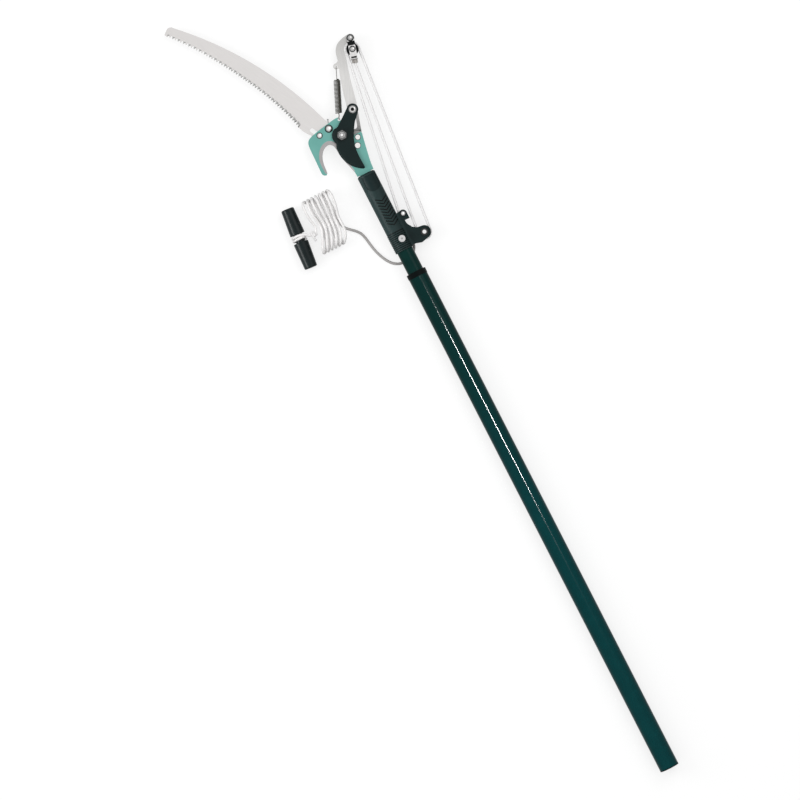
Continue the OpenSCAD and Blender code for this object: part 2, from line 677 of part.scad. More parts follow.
module block_cheeks() {
    cheek_in = sheave_w / 2 + 0.4;
    color(black) on_block() for (s = [-1, 1]) difference() {
        slab(s > 0 ? cheek_in : -strap_in, s > 0 ? strap_in : -cheek_in) {
            translate([0, -block_len]) circle(sheave_d / 2 + 0.4);
            translate([-5.2, -becket_at - 2.6]) square([10.4, becket_at - 6]);
        }
        pin([0, -block_len], axle_d / 2 + fit, -20, 20);
        translate([-4.2, -becket_at - 1.3 - fit, -20]) cube([8.4, 2.6 + 2 * fit, 40]);
    }
}
module block_saddle() {
    color(black) on_block() for (s = [-1, 1])
        slab(s > 0 ? strap_out : -strap_out - 1.4, s > 0 ? strap_out + 1.4 : -strap_out)
            translate([-5.6, -11.2]) square([11.2, 6]);
}
module block_axle() {
    color(bright) on_block() {
        pin([0, -block_len], axle_d / 2, -strap_out, strap_out);
        for (s = [0, 1]) mirror([0, 0, s]) translate([0, -block_len, strap_out]) dome(4, 1.6);
    }
}
module becket_bar() {
    color(black) on_block() translate([-4.2 + fit, -becket_at - 1.3, -strap_out - 1])
        cube([8.4 - 2 * fit, 2.6, 2 * strap_out + 2]);
}
module rope_ferrule() {
    color([0.48, 0.46, 0.44]) on_block() translate([0, -ferrule_from, 0]) rotate([90, 0, 0])
        linear_extrude(ferrule_to - ferrule_from) {
            circle(3.3);
            translate([-4.4, -2.6]) square([8.8, 5.2]);
        }
}
module top_sheave() { on_head() translate(sheave_at) sheave_at_origin(); }

// Return spring, from its hole in the plate to the draw hook that holds it to the lever
spring_axis = unit(spring_top - spring_low);
spring_span = norm(spring_top - spring_low);
coil_from = 9.5;
coil_len = 51;
coil_r = (spring_d - wire_d) / 2;
rings = 8;
neck_r = 2.6;
function coil_point(i) = let(t = i / rings, end = max(0, t - curls + 1.25) / 1.25,
    r = coil_r + (neck_r - coil_r) * end, a = 360 * t + 90)
    [r * cos(a), coil_from + coil_len * t / curls, r * sin(a)];
coil = [for (i = [0:rings * curls]) coil_point(i)];
low_hook = [[0, 3, -3.6], [0, 0.7, -3.5], [0, -0.2, -2.4], [0, -0.3, 0], [0, -0.2, 2.4], [0, 0.9, 3.6],
    [0, 3.4, 4.1], [0.4, 6, 4.6], [0.2, 8, 4.8]];
spring_path = concat(low_hook, coil);
echo("spring, least gap between curls", least_gap(coil, rings - 2, wire_d));
module on_spring() {
    on_head() translate(spring_low) rotate(atan2(spring_axis[1], spring_axis[0]) - 90) children();
}
module return_spring() { color(spring_grey) on_spring() tube(spring_path, wire_d / 2, 6, [1, 0, 0]); }
module spring_hook() {
    r = wire_d / 2;
    coil_top = coil_from + coil_len;
    top = spring_span;
    eye = [[0, coil_top - 3.4, 0], [0, top - 13, 0], [0, top - 9, 1], [0, top - 6.2, 2.7], [0, top - 4.4, 3.2],
        [0, top - 1.6, 3.4], [0, top - 0.2, 2.5], [0, top + 0.3, 0], [0, top + 0.1, -2.4], [0, top - 1.2, -3.6],
        [0, top - 3.4, -3.6]];
    color(bright) on_spring() {
        tube(eye, r, 8, [1, 0, 0]);
        translate([0, coil_top - 4.3, 0]) rotate([-90, 0, 0])
            cylinder(r = coil_r - wire_d / 2 - 0.7, h = 1.2);
    }
}

// Tackle: from the becket down to the lower sheave, up over the top sheave, down to the guide roller
top_c = sheave_at + [0, head_y];
low_c = fork_at + [0, handle_low];
guide_c = guide_at + [0, handle_low];
becket_c = block_point(ferrule_to) + [0, head_y];
left_ends = touch(guide_c, guide_r, top_c, turn_r, -1);
right_ends = touch(low_c, turn_r, top_c, turn_r, 1);
middle_ends = touch(low_c, turn_r, becket_c, 0, -1);
module strand(ends) {
    d = ends[1] - ends[0];
    room = 0.4;
    color(rope_white) on_pole() translate([ends[0][0], ends[0][1], 0])
        rotate([-90, 0, atan2(d[1], d[0]) - 90])
        translate([0, 0, room]) cylinder(r = rope_r, h = norm(d) - 2 * room);
}
module rope_left() { strand(left_ends); }
module rope_middle() { strand(middle_ends); }
module rope_right() { strand(right_ends); }
module rope_turn(c, from, to) {
    color(rope_white) on_pole() translate(c) rotate(from) rotate_extrude(angle = to - from)
        translate([turn_r, 0]) circle(rope_r, $fn = 32);
}
module rope_top_turn() { rope_turn(top_c, angle_of(top_c, right_ends[1]), angle_of(top_c, left_ends[1])); }
module rope_lower_turn() {
    rope_turn(low_c, angle_of(low_c, middle_ends[0]), angle_of(low_c, right_ends[0]) + 360);
}

// Free rope, from the guide roller to the hank and the toggle, with z from the floor
floor_z = rope_r + 0.1;
tail_points = [[16.8, 46, 16.05], [16.8, 41, 15.05], [17.1, 35, 13.2], [17.5, 28, 11], [17.8, 20, 8.8],
    [17.8, 12, 6.2], [17, 5, 4], [15, -1.5, 2.6], [11.5, -7, 2.1], [6.5, -11, 2.1], [0, -13.5, 2.1],
    [-7, -15, 2.1], [-14, -14.6, 2.1], [-20.5, -12, 2.1], [-26, -7.6, 2.1], [-30.6, -1.6, 2.1],
    [-34.6, 6, 2.1], [-38, 14.6, 2.1], [-40.6, 24, 2.1], [-42.4, 34, 2.1], [-44, 43.5, 2.1],
    [-46.6, 52, 2.1], [-51.2, 58.4, 2.1], [-56.4, 63.4, 2.1], [-61.6, 68.2, 2.1], [-65.6, 73.4, 2.1]];
// Hank: upright loops side by side, drawn in at the waist and leaning apart at their folds
hank_at = [-82.5, 92];
hank_pitch = rope_d + 0.55;
hank_dip = 0.4;
hank_lean = 0.36;
hank_flare = 0.1;
hank_sway = 10.5;
waist_at = -4;
waist_h = 16;
loop_rings = 24;
hank_first = 2;
hank_last = loop_rings * hank_loops + 15;
hank_mid = (hank_first + hank_last) / 2 / loop_rings;
hank_half = (hank_last - hank_first) / 2 / loop_rings;
// Point of a racetrack of half width w and half length h, p turns after the foot of its first run
function track(w, h, p) = let(run_l = 2 * (h - w), bend_l = PI * w, s = (p - floor(p)) * 2 * (run_l + bend_l),
    q = s % (run_l + bend_l), side = s < run_l + bend_l ? 1 : -1, a = (q - run_l) / w * 180 / PI)
    side * (q < run_l ? [w, q - run_l / 2] : [w * cos(a), run_l / 2 + w * sin(a)]);
function hank_point(t) = let(p = track(fold_r, hank_h, t), waist = exp(-pow((p[1] - waist_at) / waist_h, 2)),
    z = (fold_r - p[0]) * (1 - hank_dip * waist), side = hank_mid - t,
    low = max(0, waist_at - p[1]) / (hank_h + waist_at),
    spread = side * hank_pitch * (1 + hank_flare * (1 - waist)),
    x = spread + hank_lean * z * side / hank_half - hank_sway * low * low)
    [hank_at[0] + x, hank_at[1] + p[1], floor_z + z];
hank_path = [for (i = [hank_first:hank_last]) hank_point(i / loop_rings)];
echo("hank, least gap between loops", least_gap(hank_path, 5, rope_d));
toggle_at = [-133, 88];
toggle_tilt = -4.8;
toggle_z = toggle_d / 2 + 0.3;
wind_r = 9.3;
wind_pitch = rope_d + 0.45;
wind_turns = 1.75;
groove_half = 6.3;
// Toggle's own frame: y along its axis, from its middle
function on_toggle(p) = let(q = turn2([p[0], p[1]], toggle_tilt))
    [toggle_at[0] + q[0], toggle_at[1] + q[1], toggle_z + p[2]];
wind_from = wind_pitch * wind_turns / 2;
wind_path = [for (i = [0:loop_rings * wind_turns]) let(t = i / loop_rings, a = 90 + 360 * t)
    on_toggle([wind_r * cos(a), wind_from - wind_pitch * t, wind_r * sin(a)])];
hank_end = hank_path[len(hank_path) - 1];
lead_points = [hank_end, [-103.7, 91.6, 18.3], [-105.6, 86.6, 17.4], [-110, 83.6, 17.2], [-115.4, 84.2, 18],
    [-120.4, 87.2, 19.3], [-125.8, 90.4, 20.6]];
lead_curve = smooth(concat(lead_points, [wind_path[0]]), 2);
lead_path = concat([for (i = [0:len(lead_curve) - 2]) lead_curve[i]], wind_path);
tail_path = concat([[left_ends[0][0], left_ends[0][1] - handle_low, axis_z]], tail_points, [hank_path[0]]);
echo("toggle turns, least gap", least_gap(wind_path, 8, rope_d));
module on_floor() { on_handle() translate([0, 0, -axis_z]) children(); }
module rope_tail() { color(rope_white) on_floor() tube(smooth(tail_path, 2), rope_r, 10, [0, 0, 1]); }
module rope_hank() { color(rope_white) on_floor() tube(hank_path, rope_r, 6, [0, 0, 1]); }
module rope_lead() { color(rope_white) on_floor() tube(lead_path, rope_r, 6, [1, 0, 0]); }
module toggle_knot() {
    at = lead_points[3];
    color(rope_white) on_floor() translate(at) rotate([0, 90, 0]) rotate_extrude() translate([2.6, 0])
        circle(2, $fn = 24);
}
module toggle_handle() {
    end_r = toggle_end_d / 2;
    mid_r = toggle_d / 2;
    half = toggle_len / 2;
    round_r = 2;
    groove_r = wind_r - rope_r - gap;
    color(black) on_floor() translate([toggle_at[0], toggle_at[1], toggle_z]) rotate(toggle_tilt)
        rotate([90, 0, 0]) rotate_extrude()
        polygon(concat([[0, -half]], arc([end_r - round_r, -half + round_r], round_r, -90, 0, 6),
            arc([mid_r - 1, -groove_half - 1], 1, 0, 90, 6),
                [[groove_r, -groove_half], [groove_r, groove_half]],
            arc([mid_r - 1, groove_half + 1], 1, -90, 0, 6),
                arc([end_r - round_r, half - round_r], round_r, 0, 90, 6), [[0, half]]));
}

outer_tube();
collar();
end_plug();
inner_tube();
lock_spindle();
lock_sleeve();
handle();
handle_screw();
sheave_bolt();
sheave_nut();
lower_sheave();
guide_bolt();
guide_roller();
frame_plate();
saw_blade();
saw_bolt();
saw_washer();
saw_wing_nut();
saw_rivet();
pivot_bolt();
pivot_washer();
pivot_nut();
lever_rivet();
stop_pin();
cutting_blade();
drive_bolt();
lever_arm();
block_bolt();
block_bushes();
block_strap();
block_cheeks();
block_saddle();
block_axle();
becket_bar();
rope_ferrule();
top_sheave();
return_spring();
spring_hook();
rope_left();
rope_middle();
rope_right();
rope_top_turn();
rope_lower_turn();
rope_tail();
rope_hank();
rope_lead();
toggle_knot();
toggle_handle();
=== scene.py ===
import bpy
import numpy as np
from mathutils import Matrix, Vector


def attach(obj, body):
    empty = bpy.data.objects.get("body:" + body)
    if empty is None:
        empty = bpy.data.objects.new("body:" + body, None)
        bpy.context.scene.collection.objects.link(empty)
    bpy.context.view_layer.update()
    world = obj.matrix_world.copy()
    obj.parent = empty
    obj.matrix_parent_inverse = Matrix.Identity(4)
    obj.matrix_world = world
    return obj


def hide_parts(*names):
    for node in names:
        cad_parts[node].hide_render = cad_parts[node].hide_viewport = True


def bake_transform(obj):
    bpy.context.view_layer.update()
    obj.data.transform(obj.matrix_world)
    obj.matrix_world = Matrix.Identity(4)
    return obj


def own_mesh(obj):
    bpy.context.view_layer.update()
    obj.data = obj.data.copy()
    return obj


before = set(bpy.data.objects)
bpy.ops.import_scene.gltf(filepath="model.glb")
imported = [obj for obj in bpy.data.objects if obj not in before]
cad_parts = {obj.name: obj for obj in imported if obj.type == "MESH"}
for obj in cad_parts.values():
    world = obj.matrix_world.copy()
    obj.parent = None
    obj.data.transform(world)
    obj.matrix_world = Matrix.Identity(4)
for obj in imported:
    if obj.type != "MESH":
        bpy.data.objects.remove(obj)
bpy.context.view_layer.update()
scene = bpy.context.scene
scene.view_settings.view_transform = "Standard"

# Camera
# A long lens straight above the tool. The pole runs from the lower right to the upper left
# of a square picture that is 1.2 m wide at the height of the pole's axis.


def placement(right, up, back, place):
    """Matrix whose columns are an object's own right, up and back directions and its place."""
    return Matrix([(*right, 0.0), (*up, 0.0), (*back, 0.0), (*place, 1.0)]).transposed()


lens_mm, sensor_mm = 200.0, 36.0
picture_width = 1.2
picture_right = Vector((0.8902, -0.4555, 0.0)).normalized()
picture_up = Vector((0.4555, 0.8902, 0.0)).normalized()
picture_middle = Vector((-0.0612, 0.00995, 0.017))
upward = Vector((0.0, 0.0, 1.0))
camera_data = bpy.data.cameras.new("camera")
camera_data.lens = lens_mm
camera_data.sensor_width = sensor_mm
camera = bpy.data.objects.new("camera", camera_data)
stand = picture_middle + upward * (picture_width * lens_mm / sensor_mm)
camera.matrix_world = placement(picture_right, picture_up, upward, stand)
scene.collection.objects.link(camera)
scene.camera = camera

# Tubes of the pole
# Two steel tubes, one sliding in the other, in dark green gloss enamel. The lower tube has shade
# painted into its enamel, darker towards its top end.
mm = 0.001
pole_origin = np.array([47.55, -665.25, 17.0])
along_pole = (0.0, 1.0, 0.0)
surface_gives = {"Color": "Color", "Roughness": "Float", "Height": "Float"}


def feed(tree, node, values):
    """Give a node's inputs their values: a socket is linked, a colour gets its alpha, and
    anything else is set on the input itself."""
    for label, value in values.items():
        socket = node.inputs[label]
        if isinstance(value, bpy.types.NodeSocket):
            tree.links.new(value, socket)
        elif socket.type == "RGBA":
            socket.default_value = (*value, 1.0)
        else:
            socket.default_value = value


def add(tree, kind, values=None, **settings):
    """New shader node with these settings and input values."""
    node = tree.nodes.new("ShaderNode" + kind)
    for key, value in settings.items():
        setattr(node, key, value)
    feed(tree, node, values or {})
    return node


def ranged(tree, value, start, end, first=0.0, last=1.0):
    """Value taken from first to last while it goes from start to end, and held outside them."""
    values = {"Value": value, "From Min": start, "From Max": end, "To Min": first, "To Max": last}
    return add(tree, "MapRange", values).outputs[0]


def tinted(tree, mask, inside, outside, blend="MIX"):
    """Colour that goes from inside to outside with a mask; each is a colour or a socket."""
    values = {"Factor": mask, "A": inside, "B": outside}
    return add(tree, "Mix", values, data_type="RGBA", blend_type=blend).outputs["Result"]


def bumped(tree, height, strength, depth_mm):
    """Normal of a surface with this height on it, of the given depth."""
    values = {"Height": height, "Strength": strength, "Distance": depth_mm * mm}
    return add(tree, "Bump", values).outputs[0]


def new_group(name, takes, gives):
    """Empty node group with the named kinds of socket, what it is given and its result node."""
    tree = bpy.data.node_groups.new(name, "ShaderNodeTree")
    for sockets, way in ((takes, "INPUT"), (gives, "OUTPUT")):
        for label, kind in sockets.items():
            tree.interface.new_socket(label, in_out=way, socket_type="NodeSocket" + kind)
    return tree, tree.nodes.new("NodeGroupInput").outputs, tree.nodes.new("NodeGroupOutput")


def finish(name):
    """New material, its Principled shader and its node tree."""
    made = bpy.data.materials.new(name)
    made.use_nodes = True
    tree = made.node_tree
    return made, next(n for n in tree.nodes if n.type == "BSDF_PRINCIPLED"), tree


def skin_group():
    """Skin of a coating: slow clouds shift the colour between two shades, and finer noise
    gives the height of the skin; the clouds also move the roughness between its two values."""
    tree, given, result = new_group(
        "coating_skin",
        {"Shade": "Color", "Cloud": "Color", "Cloud Scale": "Float", "Skin Scale": "Float",
         "Rough Low": "Float", "Rough High": "Float"}, surface_gives)
    place = add(tree, "TexCoord").outputs["Object"]
    clouds, fine = (
        add(tree, "TexNoise", {"Vector": place, "Scale": given[scale], "Detail": detail}).outputs["Fac"]
        for scale, detail in (("Cloud Scale", 4.0), ("Skin Scale", 2.0)))
    feed(tree, result, {
        "Color": tinted(tree, ranged(tree, clouds, 0.3, 0.7), given["Shade"], given["Cloud"]),
        "Roughness": ranged(tree, clouds, 0.0, 1.0, given["Rough Low"], given["Rough High"]),
        "Height": fine})
    return tree


def coated(name, shade, cloud, scales, rough, bump_mm, strength, gloss):
    """Coated finish: the skin group drives colour, roughness and a bump of the given depth;
    gloss is the specular level. Also gives back what is needed to add to the finish."""
    made, shader, tree = finish(name)
    coat = add(tree, "Group", {
        "Shade": shade, "Cloud": cloud, "Cloud Scale": scales[0], "Skin Scale": scales[1],
        "Rough Low": rough[0], "Rough High": rough[1]}, node_tree=skin).outputs
    feed(tree, shader, {
        "Base Color": coat["Color"], "Roughness": coat["Roughness"],
        "Normal": bumped(tree, coat["Height"], strength, bump_mm), "Specular IOR Level": gloss})
    return made, shader, tree, coat["Color"]


def dress(made, *nodes):
    """Put a finish on the solids with these names."""
    for node in nodes:
        piece = bpy.data.objects[node]
        piece.data.materials.clear()
        piece.data.materials.append(made)


def round_mask_group():
    """Mask by distance from a line: the place less the centre, times the axes that count,
    has a length; the mask is 0 up to the near length and 1 from the far one."""
    tree, given, result = new_group(
        "round_mask", {"Centre": "Vector", "Axes": "Vector", "Near": "Float", "Far": "Float"},
        {"Mask": "Float"})
    place = add(tree, "TexCoord").outputs["Object"]
    off = add(tree, "VectorMath", {0: place, 1: given["Centre"]}, operation="SUBTRACT").outputs[0]
    counted = add(tree, "VectorMath", {0: off, 1: given["Axes"]}, operation="MULTIPLY").outputs[0]
    size = add(tree, "VectorMath", {0: counted}, operation="LENGTH").outputs["Value"]
    feed(tree, result, {"Mask": ranged(tree, size, given["Near"], given["Far"])})
    return tree


def masked(tree, centre, axes, near, far):
    """Round mask with its centre in pole millimetres and its lengths in millimetres."""
    return add(tree, "Group", {
        "Centre": tuple((np.array(centre) + pole_origin) * mm), "Axes": axes,
        "Near": near * mm, "Far": far * mm}, node_tree=round_mask).outputs["Mask"]


skin = skin_group()
round_mask = round_mask_group()
tube_green, shader, tree, enamel = coated(
    "tube_green", shade=(0.0006, 0.039, 0.042), cloud=(0.0010, 0.046, 0.049), scales=(60.0, 900.0),
    rough=(0.08, 0.11), bump_mm=0.01, strength=0.006, gloss=0.05)
# Painted shade: the lower tube's enamel is painted darker towards its top end.
off_painted_top_shade = masked(tree, (0.0, 830.0, 0.0), along_pole, near=60.0, far=400.0)
feed(tree, shader, {"Base Color": tinted(tree, off_painted_top_shade, (0.0012, 0.025, 0.023), enamel)})
dress(tube_green, "outer_tube")
upper_green = coated(
    "upper_green", shade=(0.002, 0.023, 0.020), cloud=(0.003, 0.029, 0.025), scales=(60.0, 900.0),
    rough=(0.08, 0.14), bump_mm=0.01, strength=0.05, gloss=0.05)[0]
dress(upper_green, "inner_tube")

# Mouldings of the pole and the handle
# Black glass-filled nylon with the fine grain of its mould: the handle, whose chevrons and thumb
# rest are sunk, the guide collar and the butt plug, all pushed on the tubes. The sheaves and the
# block's cheeks have a smoother skin, and the twist lock's sleeve is white.


def calc(tree, operation, *values):
    """Result of one operation on one or two numbers or sockets."""
    return add(tree, "Math", dict(enumerate(values)), operation=operation).outputs[0]


moulding = {"scales": (90.0, 1500.0), "rough": (0.42, 0.56), "bump_mm": 0.08, "strength": 0.35}
moulding_black = coated(
    "moulding_black", shade=(0.0012, 0.0028, 0.0028), cloud=(0.002, 0.004, 0.004), gloss=0.06, **moulding)[0]
dress(moulding_black, "collar", "end_plug", "lock_spindle")
handle_black, shader, tree, grain = coated(
    "handle_black", shade=(0.0105, 0.0225, 0.0225), cloud=(0.0145, 0.0285, 0.0285), gloss=0.12, **moulding)
pole_axis, round_pole = (0.0, 0.0, 0.0), (1.0, 0.0, 1.0)
# Painted shade: the grooves between the ribs of the grip ring are painted near black.
off_ribs = masked(tree, (0.0, 887.0, 0.0), along_pole, near=15.6, far=15.9)
rib_top = masked(tree, pole_axis, round_pole, near=14.25, far=14.6)
ribs_painted_shade = tinted(tree, calc(tree, "MAXIMUM", off_ribs, rib_top), (0.0008, 0.003, 0.003), grain)
# Painted shade: the sunk chevrons are painted near black, and the sunk thumb rest darker than the face.
off_chevrons = masked(tree, (0.0, 932.0, 0.0), along_pole, near=30.0, far=33.0)
sunk_painted_shade = tinted(tree, off_chevrons, (0.0002, 0.0012, 0.0013), (0.004, 0.0125, 0.013))
barrel = tinted(tree, masked(tree, pole_axis, round_pole, near=13.65, far=14.12), sunk_painted_shade, ribs_painted_shade)
# Painted shade: the parts of the handle beside its barrel are painted darker.
off_barrel = masked(tree, pole_axis, round_pole, near=15.6, far=18.5)
feed(tree, shader, {"Base Color": tinted(tree, off_barrel, barrel, (0.004, 0.0115, 0.0115))})
dress(handle_black, "handle")
sheave_black = coated(
    "sheave_black", shade=(0.0015, 0.0025, 0.0025), cloud=(0.003, 0.0045, 0.0045), scales=(200.0, 1600.0),
    rough=(0.35, 0.5), bump_mm=0.05, strength=0.25, gloss=0.1)[0]
dress(sheave_black, "top_sheave", "lower_sheave", "block_cheeks", "block_saddle", "block_bushes")
sleeve_white = coated(
    "sleeve_white", shade=(0.66, 0.66, 0.63), cloud=(0.72, 0.72, 0.70), scales=(120.0, 1200.0),
    rough=(0.4, 0.5), bump_mm=0.04, strength=0.2, gloss=0.4)[0]
dress(sleeve_white, "lock_sleeve")

# Head plate
# Pressed steel plate in light green powder paint. Its hook is ground to bare steel along the
# inner edge that the branch rests on, down to the neck beside the cutting blade.
plate_green = coated(
    "plate_green", shade=(0.128, 0.362, 0.322), cloud=(0.148, 0.396, 0.353), scales=(45.0, 1100.0),
    rough=(0.34, 0.46), bump_mm=0.05, strength=0.3, gloss=0.25)[0]
dress(plate_green, "frame_plate")
head_origin = pole_origin + np.array([0.0, 1000.0, 0.0])


def through(points, steps):
    """Curve through all points: between two of them a cubic whose slope at each is half
    the way from the point before to the point after, cut into equal steps."""
    p = np.asarray(points, float)
    before = np.concatenate([p[:1], p[:-2]])
    after = np.concatenate([p[2:], p[-1:]])
    a, b, c, d = (q[:, None, :] for q in (before, p[:-1], p[1:], after))
    t = (np.arange(steps) / steps)[None, :, None]
    curve = 0.5 * (2 * b + (c - a) * t + (2 * a - 5 * b + 4 * c - d) * t ** 2
                   + (3 * b - a - 3 * c + d) * t ** 3)
    return np.concatenate([curve.reshape(-1, p.shape[1]), p[-1:]])


def length_along(points):
    """Running length of a path: the sum of its steps up to each point."""
    steps = np.linalg.norm(np.diff(np.asarray(points, float), axis=0), axis=1)
    return np.concatenate([[0.0], np.cumsum(steps)])


def wall_quads(rows, sides, closed=False):
    """Four-sided faces between neighbouring rows of a section that is carried along; closed
    joins the last row to the first."""
    i, k = np.meshgrid(np.arange(rows if closed else rows - 1), np.arange(sides), indexing="ij")
    j, n = (i + 1) % rows, (k + 1) % sides
    return np.stack([i * sides + k, i * sides + n, j * sides + n, j * sides + k], -1).reshape(-1, 4)


def new_piece(name, points, faces):
    """Object at the origin with a mesh of these points, in metres, and faces."""
    mesh = bpy.data.meshes.new(name)
    mesh.from_pydata(np.asarray(points).tolist(), [], faces)
    mesh.update()
    piece = bpy.data.objects.new(name, mesh)
    scene.collection.objects.link(piece)
    return piece


def edge_cover(name, line, width, half_plate, proud):
    """Angle section carried along the plate's edge: one leg lies on the front face, as wide as
    the width at each point, and the other covers the edge. Into the plate is to the left."""
    way = np.gradient(line, axis=0)
    way /= np.linalg.norm(way, axis=1)[:, None]
    inward = np.stack([-way[:, 1], way[:, 0]], axis=1)
    lap, sunk, slope, feather, corner = 0.3, 0.2, 0.5, 0.02, 0.1
    top, w = half_plate + proud, width[:, None]
    none = 0 * w
    into = np.concatenate([
        none - proud, none + lap, none + lap, w, w, w - slope, none + corner, none - proud], axis=1)
    height = np.broadcast_to([
        -half_plate, -half_plate, half_plate - sunk, half_plate - sunk, half_plate + feather, top, top,
        half_plate - corner], into.shape)
    flat = line[:, None, :] + into[:, :, None] * inward[:, None, :]
    points = np.concatenate([flat, height[:, :, None]], axis=2).reshape(-1, 3)
    rows, sides = into.shape
    start = np.arange(sides)
    caps = [start[::-1].tolist(), (start + (rows - 1) * sides).tolist()]
    return new_piece(name, (points + head_origin) * mm, wall_quads(rows, sides).tolist() + caps)


def brushed_group():
    """Grinding lines: noise drawn out along one direction moves colour, roughness and height."""
    tree, given, result = new_group(
        "ground_lines",
        {"Angle": "Vector", "Stretch": "Vector", "Dark": "Color", "Bright": "Color",
         "Rough Low": "Float", "Rough High": "Float"}, surface_gives)
    turned = add(tree, "VectorRotate", {
        "Vector": add(tree, "TexCoord").outputs["Object"], "Rotation": given["Angle"]},
        rotation_type="EULER_XYZ").outputs[0]
    drawn_out = add(tree, "VectorMath", {0: turned, 1: given["Stretch"]}, operation="MULTIPLY").outputs[0]
    lines = add(tree, "TexNoise", {"Vector": drawn_out, "Scale": 1.0, "Detail": 5.0}).outputs["Fac"]
    feed(tree, result, {
        "Color": tinted(tree, lines, given["Dark"], given["Bright"]),
        "Roughness": ranged(tree, lines, 0.0, 1.0, given["Rough Low"], given["Rough High"]),
        "Height": lines})
    return tree


def ground_metal(name, angle, stretch, dark, bright, rough, strength):
    """Bare metal finish: the grinding lines drive colour, roughness and a shallow bump."""
    made, shader, tree = finish(name)
    lines = add(tree, "Group", {
        "Angle": (0.0, 0.0, np.radians(angle)), "Stretch": stretch, "Dark": dark, "Bright": bright,
        "Rough Low": rough[0], "Rough High": rough[1]}, node_tree=ground).outputs
    feed(tree, shader, {
        "Base Color": lines["Color"], "Roughness": lines["Roughness"], "Metallic": 1.0,
        "Normal": bumped(tree, lines["Height"], strength, depth_mm=0.05)})
    return made, shader, tree, lines["Color"]


hook_line = through(np.array([
    [-51, 27.5], [-50.3, 33], [-49.6, 41], [-48, 48.5], [-45, 55], [-40.5, 60.6], [-35.5, 63.7],
    [-30.5, 64.6], [-26.5, 62.8], [-23.6, 59], [-22.3, 53], [-21.8, 45], [-20, 34.5], [-16.8, 23],
    [-13.7, 11.5]]), steps=6)
hook_share = length_along(hook_line) / length_along(hook_line)[-1]
hook_width = np.interp(hook_share, [0, 0.05, 0.2, 0.42, 0.56, 0.66, 0.8, 0.95, 1],
                       [2.6, 3.4, 4.8, 5.6, 5.6, 4.0, 2.6, 1.8, 1.2])
ground = brushed_group()
hook_edge = edge_cover("hook_edge", hook_line, hook_width, half_plate=2.0, proud=0.12)
edge_steel = ground_metal(
    "edge_steel", angle=40.0, stretch=(900.0, 120.0, 400.0), dark=(0.30, 0.29, 0.29),
    bright=(0.44, 0.425, 0.425), rough=(0.36, 0.52), strength=0.2)[0]
hook_edge.data.materials.append(edge_steel)
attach(hook_edge, "head")

# Cutting blade
# Forged blade under a black non-stick coating that has rubbed thin on the ground bevel. It turns
# on the main pivot, pushed by the lever through the screw at the end of its arm.
round_upright = (1.0, 1.0, 0.0)
blade_black, shader, tree, coating = coated(
    "blade_black", shade=(0.0045, 0.0125, 0.0125), cloud=(0.0065, 0.0155, 0.0155), scales=(70.0, 1300.0),
    rough=(0.36, 0.48), bump_mm=0.04, strength=0.25, gloss=0.12)
bevel_in = masked(tree, (20.42, 1046.83, 0.0), round_upright, near=39.1, far=39.7)
arm_off = masked(tree, (26.3, 1095.5, 0.0), round_upright, near=40.0, far=46.0)
bevel = calc(tree, "MULTIPLY", bevel_in, arm_off)
feed(tree, shader, {"Base Color": tinted(tree, bevel, coating, (0.011, 0.021, 0.021))})
dress(blade_black, "cutting_blade")

# Saw blade and lever
# Bright steel: the saw is ground along its length, with its teeth cut and bevelled afterwards in
# pairs that are set to either side; the bevels' light and shade are painted on the flanks as greys.
# The stretch at its heel has none. The lever is zinc plated.
saw_bright = {
    "angle": -28.0, "stretch": (1800.0, 40.0, 400.0), "dark": (0.61, 0.594, 0.584),
    "bright": (0.715, 0.693, 0.684), "rough": (0.30, 0.46), "strength": 0.15}
saw_steel = ground_metal("saw_steel", **saw_bright)[0]
dress(saw_steel, "saw_blade")
saw_heel, saw_end, saw_sag = np.array([-47.5, 1091.0]), np.array([-172.0, 1319.5]), 13.5
saw_face, saw_back = -2.0, -3.2
pitches, first_tooth, tooth_set = 58, 3, 0.3
deep_gullet, low_gullet, strip_depth = 4.2, 2.8, 6.0
plain_from, plain_steps, heel_share = -1.8, 11, 0.03
edge_share = np.array([0.0, 0.04, 0.08, 0.20, 0.35, 0.50, 0.65, 0.78, 1.0])
edge_out = np.array([1.2, 4.0, 4.8, 3.2, 2.1, 2.0, 1.2, 0.2, 0.0])


